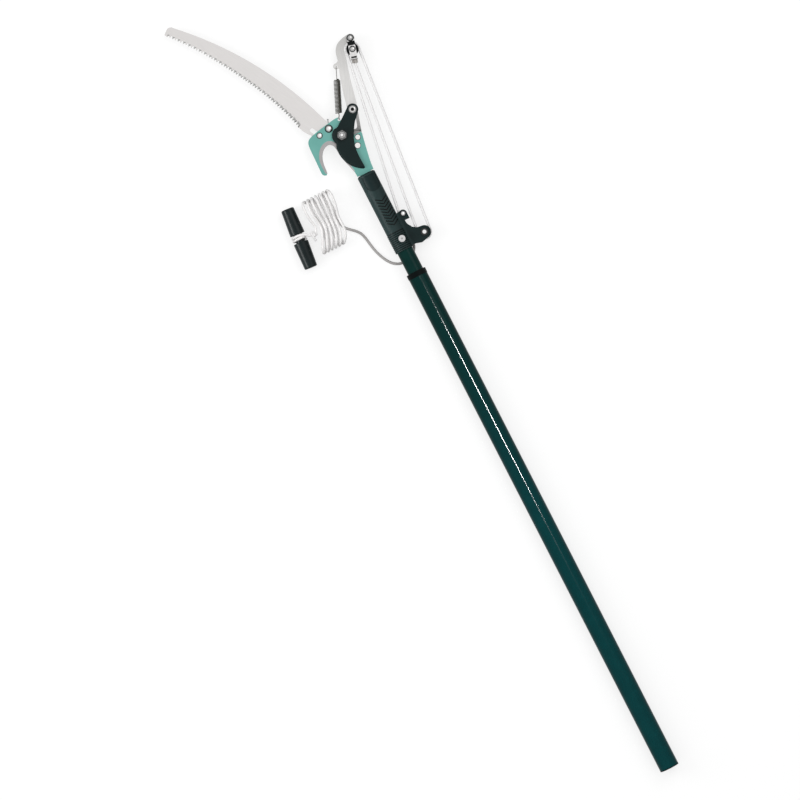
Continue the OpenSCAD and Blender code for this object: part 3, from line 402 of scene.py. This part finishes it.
def tooth_strip(name):
    """Toothed strip on the saw's edge, an arc of heel + way t + right 4 sag t (1 - t). Its outer
    line stands out from the arc and dips by a gullet's depth between the points of the teeth,
    its inner line lies behind the gullets. The map's u counts pairs of teeth, v the depth."""
    number = np.arange(first_tooth, pitches)
    even = number % 2 == 0
    plain = np.linspace(plain_from, first_tooth, plain_steps + 1)[:-1]
    point_gullet_rise = np.array([0.0, 0.42, 0.62])
    gullet, lean = np.where(even, deep_gullet, low_gullet), np.where(even, 1, -1)
    count = np.concatenate([plain, (number[:, None] + point_gullet_rise).ravel(), [pitches]])
    depth = np.concatenate([0 * plain, np.outer(gullet, [0.0, 1.0, 1.0]).ravel(), [0.0]])
    bent = np.concatenate([0 * plain, np.outer(lean, [1.0, 0.0, 0.0]).ravel(), [0.0]])
    t = heel_share + (1.0 - heel_share) * count / pitches
    way = saw_end - saw_heel
    right = np.array([way[1], -way[0]]) / np.linalg.norm(way)
    arc = saw_heel + way * t[:, None] + right * (4 * saw_sag * t * (1 - t))[:, None]
    along = way + right * (4 * saw_sag * (1 - 2 * t))[:, None]
    along /= np.linalg.norm(along, axis=1)[:, None]
    inward = np.stack([along[:, 1], -along[:, 0]], axis=1)
    outer = arc + inward * (depth - np.interp(t, edge_share, edge_out))[:, None]
    inner = arc + inward * np.interp(t, [0.0, heel_share, 0.1], [2.0, 4.6, strip_depth])[:, None]
    proud, lift = 0.02, tooth_set * bent
    rows = [np.column_stack([line, height]) for line, height in (
        (outer, saw_face + proud + lift), (inner, 0 * t + saw_face + proud),
        (inner, 0 * t + saw_back - proud), (outer, saw_back - proud + lift))]
    points = (np.stack(rows, axis=1).reshape(-1, 3) + pole_origin) * mm
    last = (len(t) - 1) * 4
    caps = [[0, 1, 2, 3], [last + 3, last + 2, last + 1, last]]
    piece = new_piece(name, points, wall_quads(len(t), 4)[:, [0, 3, 2, 1]].tolist() + caps)
    inside = np.full(len(t), strip_depth)
    edge = np.where(count < first_tooth, inside, depth)
    down = np.stack([edge, inside, inside, edge], 1).ravel() / strip_depth
    corners = np.empty(len(piece.data.loops), int)
    piece.data.loops.foreach_get("vertex_index", corners)
    flat = np.stack([np.repeat(count / 2, 4), down], 1)[corners]
    piece.data.uv_layers.new(name="teeth").data.foreach_set("uv", flat.astype(np.float32).ravel())
    return piece


def teeth_painted_shade(name, flank_painted_shades):
    """Saw finish with painted light and shade on the teeth: across each pair of teeth the flanks have
    their own painted shades, which give way to the ground steel behind the gullets."""
    made, shader, tree, steel = ground_metal(name, **saw_bright)
    parts = add(tree, "SeparateXYZ", {0: add(tree, "UVMap", uv_map="teeth").outputs[0]}).outputs
    shades = add(tree, "ValToRGB", {0: calc(tree, "FRACT", parts[0])})
    stops = shades.color_ramp.elements
    shades.color_ramp.interpolation = "CONSTANT"
    stops.remove(stops[1])
    for k, (start, grey) in enumerate(flank_painted_shades):
        stop = stops[0] if k == 0 else stops.new(start)
        stop.position = start
        stop.color = (grey, grey, 0.98 * grey, 1.0)
    behind = ranged(tree, parts[1], 0.62, 0.74)
    feed(tree, shader, {"Base Color": tinted(tree, behind, shades.outputs[0], steel)})
    return made


saw_teeth = tooth_strip("saw_teeth")
# Painted light and shade: one flank of each pair is bright, the next near black, then two greys.
tooth_steel = teeth_painted_shade("tooth_steel", ((0.0, 0.50), (0.25, 0.07), (0.5, 0.42), (0.75, 0.30)))
saw_teeth.data.materials.append(tooth_steel)
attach(saw_teeth, "head")
lever_zinc, shader, tree, zinc = ground_metal(
    "lever_zinc", angle=22.0, stretch=(900.0, 60.0, 400.0), dark=(0.53, 0.525, 0.515),
    bright=(0.69, 0.68, 0.67), rough=(0.30, 0.5), strength=0.15)
# Painted shade: the lever is darker round its swivel at the top and darker still round its pivot.
off_swivel = masked(tree, (72.0, 1192.5, 0.0), round_upright, near=12.0, far=55.0)
off_pivot = masked(tree, (8.7, 1044.0, 0.0), round_upright, near=36.0, far=62.0)
shaded_near_swivel = tinted(tree, off_swivel, (0.47, 0.465, 0.455), zinc)
feed(tree, shader, {"Base Color": tinted(tree, off_pivot, (0.27, 0.27, 0.265), shaded_near_swivel)})
dress(lever_zinc, "lever_arm")

# Fasteners and the block
# Zinc-plated bolts, rivets, straps and rollers, with light and shade painted on them: bright flat
# tops, dark sides and rims, and on some heads painted highlights and dark rings. Some pieces take
# darker copies of the zinc, painted shade, and the pivot's nut is the darkest of them. Its washer and
# the becket bar are blackened, and the sleeve on the rope is dull crimped aluminium.


def flat_top_group():
    """Mask of what faces up or down: the height part of the surface's normal, without its
    sign, taken from the low value to the high one."""
    tree, given, result = new_group("flat_top", {"Low": "Float", "High": "Float"}, {"Mask": "Float"})
    height = add(tree, "SeparateXYZ", {0: add(tree, "TexCoord").outputs["Normal"]}).outputs[2]
    feed(tree, result, {"Mask": ranged(tree, calc(tree, "ABSOLUTE", height), given["Low"], given["High"])})
    return tree


def plated_painted_light(name, at=(0.0, 0.0), rings=(), dark=(0.70, 0.695, 0.685), bright=(0.92, 0.915, 0.905)):
    """Zinc finish with painted light: bright and fine-grained on flat tops, with painted shade
    in dark grey on sides and rims. Each ring gives two radii and a shade, which it has up to the
    first and has lost by the second; the rings paint highlights and dark rings on single heads."""
    made, shader, tree, colour = ground_metal(
        name, angle=0.0, stretch=(500.0, 500.0, 500.0), dark=dark, bright=bright,
        rough=(0.20, 0.38), strength=0.2)
    top = add(tree, "Group", {"Low": 0.72, "High": 0.96}, node_tree=flat_top).outputs["Mask"]
    # Painted light: faces turned up are bright, and sides and rims are painted dark grey.
    colour = tinted(tree, top, (0.17, 0.175, 0.175), colour)
    for near, far, grey in rings:
        colour = tinted(tree, masked(tree, (*at, 0.0), round_upright, near, far), (grey, grey, grey), colour)
    feed(tree, shader, {"Base Color": colour})
    return made


flat_top = flat_top_group()
zinc_bright = plated_painted_light("zinc_bright")
dress(zinc_bright, "saw_bolt", "saw_washer", "saw_wing_nut", "saw_rivet", "lever_rivet", "stop_pin",
      "sheave_nut", "guide_bolt", "guide_roller")
# Painted shade: darker copies of the same zinc, the darker one for the block's bolt and axle and a lighter
# one for its strap.
zinc_painted_shade = plated_painted_light("zinc_painted_shade", dark=(0.42, 0.415, 0.41), bright=(0.62, 0.615, 0.605))
dress(zinc_painted_shade, "block_bolt", "block_axle")
zinc_strap = plated_painted_light("zinc_strap", dark=(0.60, 0.59, 0.585), bright=(0.78, 0.77, 0.765))
dress(zinc_strap, "block_strap")
# Painted shade: the drive bolt's socket is painted near black.
dress(plated_painted_light("socket_zinc", (26.3, 1095.5), [(2.4, 3.1, 0.012)]), "drive_bolt")
dress(plated_painted_light("screw_zinc", (4.0, 889.0), [(7.0, 7.5, 0.62), (1.2, 1.9, 0.36)]), "handle_screw")
# Painted shade and highlight: a near black ring round the pivot bolt's end and a bright spot at its centre.
dress(plated_painted_light("pivot_zinc", (-5.5, 1068.0), [(3.2, 3.7, 0.03), (2.1, 2.6, 0.8)]), "pivot_bolt")
# Painted shade: the pivot's nut is the same zinc, painted near black.
dress(plated_painted_light("nut_grey", dark=(0.10, 0.105, 0.105), bright=(0.24, 0.245, 0.245)), "pivot_nut")
# Painted shade and highlight: the sheave bolt is near black round a bright centre.
dress(plated_painted_light("hexagon_zinc", (38.7, 883.0), [(7.0, 7.5, 0.05), (2.5, 3.3, 0.8)]), "sheave_bolt")
black_oxide_and_shade = coated(
    "black_oxide_and_shade", shade=(0.004, 0.006, 0.006), cloud=(0.009, 0.012, 0.012), scales=(300.0, 1500.0),
    rough=(0.3, 0.45), bump_mm=0.03, strength=0.2, gloss=0.25)[0]
dress(black_oxide_and_shade, "pivot_washer", "becket_bar")
crimped_grey = ground_metal(
    "crimped_grey", angle=0.0, stretch=(300.0, 900.0, 300.0), dark=(0.22, 0.21, 0.20),
    bright=(0.40, 0.38, 0.36), rough=(0.4, 0.55), strength=0.4)[0]
dress(crimped_grey, "rope_ferrule")


def shade_ring_piece(name, at, low, high, inner, outer, rows=40):
    """Flat ring round an upright axis: a rectangle of radius and height carried round a circle."""
    a = np.linspace(0.0, 2.0 * np.pi, rows, endpoint=False)[:, None]
    radius = np.array([inner, outer, outer, inner])
    x, y = at[0] + radius * np.cos(a), at[1] + radius * np.sin(a)
    height = np.broadcast_to([low, low, high, high], x.shape)
    points = (np.stack([x, y, height], -1).reshape(-1, 3) + pole_origin) * mm
    return new_piece(name, points, wall_quads(rows, 4, closed=True)[:, [0, 3, 2, 1]].tolist())


# Painted shade: thin black rings laid flat round the heads of bolts, rivets and pins stand for the shade at
# their edges.
painted_shade_rings = {
    "saw_bolt_shade_ring": ("head", (-18.5, 1086.0), 1.9, 2.14, 5.2, 6.2),
    "saw_rivet_shade_ring": ("head", (-35.5, 1083.0), 1.9, 2.14, 3.8, 4.7),
    "lever_rivet_shade_ring": ("head", (8.7, 1044.0), 1.9, 2.12, 4.1, 4.9),
    "stop_pin_shade_ring": ("head", (14.5, 1055.0), 1.9, 2.12, 3.7, 4.5),
    "axle_shade_ring": ("block", (67.4, 1176.1), 6.4, 6.75, 3.6, 4.9),
    "swivel_shade_ring": ("lever", (72.0, 1192.5), 6.55, 6.85, 3.6, 5.5)}
for name, (body, at, low, high, inner, outer) in painted_shade_rings.items():
    ring = shade_ring_piece(name, at, low, high, inner, outer)
    ring.data.materials.append(black_oxide_and_shade)
    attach(ring, body)

# Return spring
# Close-wound spring of round steel wire. Its lower end hooks into a hole of the head plate,
# and its top curl narrows to hold the draw hook that pulls on the lever.
spring_low = np.array([1.6, 1091.2, 0.0])
spring_top = np.array([33.8, 1164.3, 0.0])
spring_span = float(np.linalg.norm(spring_top - spring_low))
spring_way = (spring_top - spring_low) / spring_span
spring_side = np.array([spring_way[1], -spring_way[0], 0.0])


def carried_frame(p):
    """Side directions along a path: each is the one before, less its part along the new
    tangent, so that the section goes round bends without twisting."""
    tangent = np.gradient(p, axis=0)
    tangent /= np.linalg.norm(tangent, axis=1)[:, None]
    side = np.zeros_like(p)
    first = np.eye(3)[np.argmin(np.abs(tangent[0]))]
    for i, t in enumerate(tangent):
        first = first - t * (first @ t)
        first = first / np.linalg.norm(first)
        side[i] = first
    return side, np.cross(tangent, side)


def round_section(name, path, radius, sides=14):
    """Round section carried along a path, point = path + radius (cos a side + sin a other),
    closed by a flat fan at each end. The map's u goes once round, v counts diameters along."""
    p = np.asarray(path, float)
    side, other = carried_frame(p)
    rows = len(p)
    a = np.linspace(0.0, 2.0 * np.pi, sides, endpoint=False)[None, :, None]
    wall = p[:, None, :] + radius * (np.cos(a) * side[:, None, :] + np.sin(a) * other[:, None, :])
    k = np.arange(sides)
    n = (k + 1) % sides
    last = (rows - 1) * sides
    low = np.stack([np.full(sides, rows * sides), n, k], -1)
    high = np.stack([np.full(sides, rows * sides + 1), last + k, last + n], -1)
    piece = new_piece(name, np.concatenate([wall.reshape(-1, 3), p[:1], p[-1:]]),
                      wall_quads(rows, sides).tolist() + low.tolist() + high.tolist())
    v = length_along(p) / (2.0 * radius)
    wall_u = np.stack([k, k + 1, k + 1, k], -1)[None] / sides
    wall_v = np.stack([v[:-1], v[:-1], v[1:], v[1:]], -1)[:, None]
    wall_map = np.stack(np.broadcast_arrays(wall_u, wall_v), -1).reshape(-1, 2)
    fan_map = np.stack([np.stack([k, k + 1, k], -1) / sides, np.zeros((sides, 3))], -1).reshape(-1, 2)
    flat = np.concatenate([wall_map, fan_map, fan_map + np.array([0.0, v[-1]])])
    piece.data.uv_layers.new(name="along").data.foreach_set("uv", flat.astype(np.float32).ravel())
    piece.data.polygons.foreach_set("use_smooth", np.ones(len(piece.data.polygons), bool))
    return piece


def on_spring(local):
    """Place along the spring: across, along and above its axis from its hole, in metres."""
    q = np.asarray(local, float)
    spot = q[:, :1] * spring_side + q[:, 1:2] * spring_way + q[:, 2:] * np.array([0.0, 0.0, 1.0])
    return (spot + spring_low + pole_origin) * mm


curls, narrow_curls, wire_r = 26, 1.25, 0.7 * mm
coil_from, coil_len, coil_r, neck_r = 9.5, 51.0, 4.6, 2.6
coil_top = coil_from + coil_len
t = np.linspace(0.0, curls, curls * 28 + 1)
narrow = np.maximum(0.0, t - curls + narrow_curls) / narrow_curls
r = coil_r + (neck_r - coil_r) * narrow
a = 2 * np.pi * t + np.pi / 2
coil = np.stack([r * np.cos(a), coil_from + coil_len * t / curls, r * np.sin(a)], 1)
low_hook = through([
    [0, 3, -3.6], [0, 0.7, -3.5], [0, -0.2, -2.4], [0, -0.3, 0], [0, -0.2, 2.4], [0, 0.9, 3.6],
    [0, 3.4, 4.1], [0.4, 6, 4.6], [0.2, 8, 4.8], coil[0]], steps=5)
wire_route = on_spring(np.concatenate([low_hook[:-1], coil]))
spring_wire = round_section("spring_wire", wire_route, wire_r, sides=8)
eye_from = np.array([0.0, spring_span, 0.0])
eye = through([[0, coil_top - 4.0, 0], *(eye_from + np.array([
    [0, -13, 0], [0, -9, 1], [0, -6.2, 2.7], [0, -4.4, 3.2], [0, -1.6, 3.4], [0, -0.2, 2.5],
    [0, 0.3, 0], [0, 0.1, -2.4], [0, -1.2, -3.6], [0, -3.4, -3.6]]))], steps=5)
draw_hook = round_section("draw_hook", on_spring(eye), wire_r, sides=10)


def drawn_wire(name, colour, rough):
    """Drawn wire finish: metal whose shade and roughness drift along the wire."""
    made, shader, tree = finish(name)
    place = add(tree, "TexCoord").outputs["Object"]
    drift = add(tree, "TexNoise", {"Vector": place, "Scale": 420.0, "Detail": 3.0}).outputs["Fac"]
    feed(tree, shader, {
        "Base Color": tinted(tree, drift, tuple(0.7 * c for c in colour), colour),
        "Roughness": ranged(tree, drift, 0.0, 1.0, rough - 0.1, rough + 0.12), "Metallic": 1.0})
    return made


spring_grey = drawn_wire("spring_grey", (0.10, 0.097, 0.083), 0.36)
spring_wire.data.materials.append(spring_grey)
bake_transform(spring_wire)
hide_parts("return_spring")
hook_grey = drawn_wire("hook_grey", (0.36, 0.355, 0.34), 0.32)
draw_hook.data.materials.append(hook_grey)
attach(draw_hook, "spring_hook")
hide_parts("spring_hook")

# Tackle
# White braided polyester cord, 4 mm thick, tight between the block on the lever and the handle:
# from the crimped sleeve down round the lower sheave, up over the top sheave and down to the
# guide roller.
cord_d = 4.0 * mm
end_gap = 0.1 * mm
tackle_ends = {
    "rope_left": ((17.0697, 922.8730), (58.0204, 1177.6078), 0.8159),
    "rope_right": ((48.1548, 882.0742), (76.8548, 1175.1742), 0.7982),
    "rope_middle": ((29.2671, 884.1270), (61.7375, 1155.9120), 0.7829)}


def evenly(points, step):
    """Same curve with its points at equal lengths along it, about one step apart."""
    p = np.asarray(points, float)
    along = length_along(p)
    stations = np.linspace(0.0, along[-1], max(2, int(round(along[-1] / step)) + 1))
    return np.stack([np.interp(stations, along, p[:, k]) for k in range(3)], axis=1)


def braid_group():
    """Braid of sixteen strands: two sets of bands wind round the cord in opposite senses and
    pass over each other in turn; the height of a band is half a sine across its width. The low
    places between the bands take the crease colour, which is painted shade."""
    tree, given, result = new_group(
        "cord_braid",
        {"Vector": "Vector", "Yarn": "Color", "Crease": "Color",
         "Bands Round": "Float", "Bands Along": "Float"},
        {"Color": "Color", "Height": "Float"})
    parts = add(tree, "SeparateXYZ", {0: given["Vector"]}).outputs
    around = calc(tree, "MULTIPLY", parts[0], given["Bands Round"])
    along = calc(tree, "MULTIPLY", parts[1], given["Bands Along"])
    right, left = calc(tree, "ADD", around, along), calc(tree, "SUBTRACT", around, along)
    right_hump, left_hump = (
        calc(tree, "ABSOLUTE", calc(tree, "SINE", calc(tree, "MULTIPLY", bands, np.pi)))
        for bands in (right, left))
    crossing = calc(tree, "ADD", calc(tree, "FLOOR", right), calc(tree, "FLOOR", left))
    over = calc(tree, "MODULO", calc(tree, "ABSOLUTE", crossing), 2.0)
    under = calc(tree, "SUBTRACT", 1.0, over)
    height = calc(tree, "ADD", calc(tree, "MULTIPLY", right_hump, over),
                  calc(tree, "MULTIPLY", left_hump, under))
    # Painted shade: the creases between the bands are coloured darker.
    colour = tinted(tree, calc(tree, "POWER", height, 0.6), given["Crease"], given["Yarn"])
    feed(tree, result, {"Color": colour, "Height": height})
    return tree


def braided_cord(name, yarn, painted_crease_shade, tail_shade=None):
    """Cord finish on the piece's own map: braid colour and bump, with a dull woven surface.
    Where a tail shade is given, as a shade and two lengths in diameters, the cord is painted
    that shade up to the first length and has its own colour from the second."""
    made, shader, tree = finish(name)
    place = add(tree, "UVMap", uv_map="along").outputs[0]
    bands = {"Yarn": yarn, "Crease": painted_crease_shade, "Bands Round": 8.0, "Bands Along": 2.6}
    weave = add(tree, "Group", {"Vector": place, **bands}, node_tree=braid).outputs
    colour = weave["Color"]
    if tail_shade:
        shade, low, high = tail_shade
        along = add(tree, "SeparateXYZ", {0: place}).outputs[1]
        colour = tinted(tree, ranged(tree, along, low, high, 1.0, 0.0), colour, shade, "MULTIPLY")
    feed(tree, shader, {
        "Base Color": colour, "Normal": bumped(tree, weave["Height"], strength=0.4, depth_mm=0.4),
        "Roughness": 0.75, "Specular IOR Level": 0.2, "Sheen Weight": 0.2})
    return made


braid = braid_group()
rope_white = braided_cord("rope_white", yarn=(0.94, 0.93, 0.93), painted_crease_shade=(0.74, 0.73, 0.73))
for node, (low, high, keep) in tackle_ends.items():
    ends = (np.array([[*low, 0.0], [*high, 0.0]]) + pole_origin) * mm
    way = (ends[1] - ends[0]) / np.linalg.norm(ends[1] - ends[0])
    inner = ends + end_gap * np.array([way, -way])
    stretch = round_section(node + "_cord", evenly(inner, cord_d), cord_d / 2)
    stretch.data.materials.append(rope_white)
    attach(stretch, node)
    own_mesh(stretch)
    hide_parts(node)
turn_r = 9.5
sheave_turns = {
    "rope_top_turn": ("block", (67.4, 1176.1), "rope_right", 1, "rope_left", 1),
    "rope_lower_turn": ("rope_middle", (38.7, 883.0), "rope_middle", 0, "rope_right", 0)}
for node, (body, middle, first, first_end, last, last_end) in sheave_turns.items():
    from_x, from_y = np.array(tackle_ends[first][first_end]) - middle
    to_x, to_y = np.array(tackle_ends[last][last_end]) - middle
    a0, a1 = np.arctan2(from_y, from_x), np.arctan2(to_y, to_x)
    a = np.linspace(a0, a1 if a1 > a0 else a1 + 2 * np.pi, 37)
    arc = np.stack([middle[0] + turn_r * np.cos(a), middle[1] + turn_r * np.sin(a), 0 * a], 1)
    turn = round_section(node + "_cord", (arc + pole_origin) * mm, cord_d / 2)
    turn.data.materials.append(rope_white)
    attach(turn, body)
    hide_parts(node)

# Free end of the rope
# The same cord, which leaves the guide roller, passes under the pole and lies in a hank of
# upright loops; its end is wound on the pull toggle.
handle_origin = pole_origin + np.array([0.0, 872.0, -17.0])


def hank_loops(rings):
    """Loops of the hank: a racetrack stands on edge and steps sideways by one rope and a gap
    each turn. A bell curve presses its upper runs down at the waist, the loops lean apart
    with their height, and the lower folds sway to one side by the square of their distance."""
    fold, half, pitch, first, last = 12.5, 41.0, 4.55, 2.0 / 24.0, 159.0 / 24.0
    waist_at, waist_reach, pressed = -4.0, 16.0, 0.4
    fanned, lean, sway = 0.1, 0.72, 10.5
    middle_x, middle_y, lowest = -82.5, 92.0, 2.1
    t = np.linspace(first, last, int(rings * (last - first)) + 1)
    run, bend = 2 * (half - fold), np.pi * fold
    s = (t - np.floor(t)) * 2 * (run + bend)
    q = s % (run + bend)
    sign = np.where(s < run + bend, 1.0, -1.0)
    a = (q - run) / fold
    across = sign * np.where(q < run, fold, fold * np.cos(a))
    y = sign * np.where(q < run, q - run / 2, run / 2 + fold * np.sin(a))
    waist = np.exp(-((y - waist_at) / waist_reach) ** 2)
    z = (fold - across) * (1.0 - pressed * waist)
    side = (first + last) / 2 - t
    low = np.maximum(0.0, waist_at - y) / (half + waist_at)
    x = (side * pitch * (1.0 + fanned * (1.0 - waist)) + lean * z * side / (last - first)
         - sway * low ** 2)
    return np.stack([middle_x + x, middle_y + y, lowest + z], axis=1)


def toggle_turns(rings):
    """Winding on the toggle: one and three quarter turns of a helix round its long axis."""
    middle, tilt = np.array([-133.0, 88.0, 11.8]), np.radians(-4.8)
    turns, radius, pitch = 1.75, 9.3, 4.45
    t = np.linspace(0.0, turns, int(rings * turns) + 1)
    a = np.pi / 2 + 2 * np.pi * t
    x, y, z = radius * np.cos(a), pitch * (turns / 2 - t), radius * np.sin(a)
    c, s = np.cos(tilt), np.sin(tilt)
    return middle + np.stack([c * x - s * y, s * x + c * y, z], axis=1)


tail_points = np.array([
    [17.0697, 50.873, 17], [16.8, 46, 16.05], [16.8, 41, 15.05], [17.1, 35, 13.2], [17.5, 28, 11],
    [17.8, 20, 8.8], [17.8, 12, 6.2], [17, 5, 4], [15, -1.5, 2.6], [11.5, -7, 2.1], [6.5, -11, 2.1],
    [0, -13.5, 2.1], [-7, -15, 2.1], [-14, -14.6, 2.1], [-20.5, -12, 2.1], [-26, -7.6, 2.1],
    [-30.6, -1.6, 2.1], [-34.6, 6, 2.1], [-38, 14.6, 2.1], [-40.6, 24, 2.1], [-42.4, 34, 2.1],
    [-44, 43.5, 2.1], [-46.6, 52, 2.1], [-51.2, 58.4, 2.1], [-56.4, 63.4, 2.1], [-61.6, 68.2, 2.1],
    [-65.6, 73.4, 2.1]])
lead_points = np.array([
    [-103.7, 91.6, 18.3], [-105.6, 86.6, 17.4], [-110, 83.6, 17.2], [-115.4, 84.2, 18],
    [-120.4, 87.2, 19.3], [-125.8, 90.4, 20.6]])
loops = hank_loops(rings=60)
turns = toggle_turns(rings=60)
tail = through(np.concatenate([tail_points, loops[:1]]), steps=6)
lead = through(np.concatenate([loops[-1:], lead_points, turns[:1]]), steps=6)
rope_line = np.concatenate([tail, loops[1:], lead[1:], turns[1:]]) + handle_origin
rope_route = evenly(rope_line, step=1.2) * mm
free_rope = round_section("free_rope", rope_route, cord_d / 2)
tail_end = length_along(tail)[-1] * mm / cord_d
# Painted light and shade: the free end is a lighter copy of the tackle's cord, and its tail, from the guide
# roller to the hank, is painted grey.
rope_lit_copy_shaded_tail = braided_cord("rope_lit_copy_shaded_tail", yarn=(0.965, 0.95, 0.945), painted_crease_shade=(0.86, 0.845, 0.84),
                         tail_shade=((0.45, 0.44, 0.435), tail_end - 6, tail_end + 9))
free_rope.data.materials.append(rope_lit_copy_shaded_tail)
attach(free_rope, "head")
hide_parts("rope_tail", "rope_hank", "rope_lead")

# Pull toggle
# Turned barrel of black plastic with a smooth skin. The rope's turns lie in a groove round its
# middle, and only they and their knot hold it.
toggle_black = coated(
    "toggle_black", shade=(0.002, 0.0055, 0.006), cloud=(0.0035, 0.008, 0.0085), scales=(80.0, 500.0),
    rough=(0.28, 0.38), bump_mm=0.01, strength=0.06, gloss=0.16)[0]
dress(toggle_black, "toggle_handle")

# Stopper knot at the toggle
# Two close turns of the rope's own end round the lead, pulled tight, with the short cut end
# left standing out; it keeps the winding on the toggle from slipping back.
knot_r, knot_pitch, knot_cord_r = 2.9, 3.0, 1.8 * mm
knot_start, knot_opens = 0.35, 3.0
knot_at = lead_points[2] + handle_origin
lead_way = lead_points[3] - lead_points[1]
lead_way = lead_way / np.linalg.norm(lead_way)
knot_up = np.array([0.0, 0.0, 1.0])
knot_side = np.cross(lead_way, knot_up)
knot_side = -knot_side * np.sign(knot_side[1]) / np.linalg.norm(knot_side)
t = np.linspace(0.0, 2.0, 49)[:, None]
drawn_in = knot_r * np.minimum(1.0, knot_start + knot_opens * t)
knot_turns = knot_at + lead_way * knot_pitch * (t - 1.0) + drawn_in * (
    knot_side * np.sin(2 * np.pi * t) + knot_up * np.cos(2 * np.pi * t))
end_steps = np.array([[0.0, 0.0, 0.0], [0.2, -3.2, -0.5], [0.5, -6.2, -1.9], [0.9, -9.4, -3.6]])
cut_end = through(knot_turns[-1] + end_steps, steps=5)
knot_route = evenly(np.concatenate([knot_turns[:-1], cut_end]), step=0.5) * mm
stopper_knot = round_section("stopper_knot", knot_route, knot_cord_r)
stopper_knot.data.materials.append(rope_white)
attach(stopper_knot, "head")
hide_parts("toggle_knot")

# Floor, lamps and backdrop
# A pale studio floor under a soft sky that is brighter overhead, a wide lamp from the upper
# right, a weaker one from the left, and two lamps for single pieces: one low on the left for
# the handle and the toggle, and a strip that only draws the lower tube's streak.


def seen_directly(tree):
    """One for rays from the camera or through a reflection or glass, and none for the light."""
    rays = add(tree, "LightPath").outputs
    mirrored = calc(tree, "MAXIMUM", rays["Is Glossy Ray"], rays["Is Transmission Ray"])
    return calc(tree, "MAXIMUM", rays["Is Camera Ray"], mirrored)


floor_half, floor_glow = 6.0, 0.72
floor_corners = floor_half * np.array([(-1, -1, 0), (1, -1, 0), (1, 1, 0), (-1, 1, 0)])
studio_floor = new_piece("studio_floor", floor_corners, [(0, 1, 2, 3)])
floor_white, shader, tree = finish("floor_white")
glow = calc(tree, "MULTIPLY", seen_directly(tree), floor_glow)
feed(tree, shader, {
    "Base Color": (0.3, 0.3, 0.3), "Roughness": 0.9, "Specular IOR Level": 0.0,
    "Emission Color": (1.0, 1.0, 1.0), "Emission Strength": glow})
studio_floor.data.materials.append(floor_white)

lamps = {
    "key_lamp": ((1.75, 0.95, 2.5), (0.0, 0.0, 0.0), 1.8, 1.8, 20.0),
    "fill_lamp": ((-2.0, 1.02, 1.4), (0.0, 0.1, 0.0), 1.5, 1.5, 22.0),
    "side_lamp": ((-1.3, 0.45, 0.8), (0.0, 0.3, 0.017), 1.0, 0.5, 19.0),
    "streak_lamp": ((0.62, -0.087, 2.2), (0.0, -0.087, 0.017), 0.36, 0.16, 160.0)}
for name, (place, aim, long_side, short_side, power) in lamps.items():
    light = bpy.data.lights.new(name, "AREA")
    light.shape = "RECTANGLE"
    light.size, light.size_y = short_side, long_side
    light.energy = power
    lamp = bpy.data.objects.new(name, light)
    back = (Vector(place) - Vector(aim)).normalized()
    long_way = (Vector((0.0, 1.0, 0.0)) - back * back.y).normalized()
    lamp.matrix_world = placement(long_way.cross(back), long_way, back, place)
    scene.collection.objects.link(lamp)
lit_alone = {"streak_lamp": ("enamel", ["outer_tube"]), "side_lamp": ("grips", ["handle", "toggle_handle"])}
for name, (group, nodes) in lit_alone.items():
    receivers = bpy.data.collections.new(group)
    for node in nodes:
        receivers.objects.link(bpy.data.objects[node])
    bpy.data.objects[name].light_linking.receiver_collection = receivers
bpy.data.objects["streak_lamp"].visible_diffuse = False
bpy.data.objects["fill_lamp"].visible_glossy = False

world = bpy.data.worlds.new("studio")
scene.world = world
world.use_nodes = True
tree = world.node_tree
sky = next(n for n in tree.nodes if n.type == "BACKGROUND")
height = add(tree, "SeparateXYZ", {0: add(tree, "TexCoord").outputs["Generated"]}).outputs[2]
horizon, overhead = 0.12, 1.34
dome = ranged(tree, calc(tree, "MULTIPLY", height, height), 0.0, 1.0, horizon, overhead)
level = add(tree, "Mix", {"Factor": seen_directly(tree), "A": dome, "B": 1.0}).outputs["Result"]
feed(tree, sky, {"Color": (1.0, 1.0, 1.0), "Strength": level})
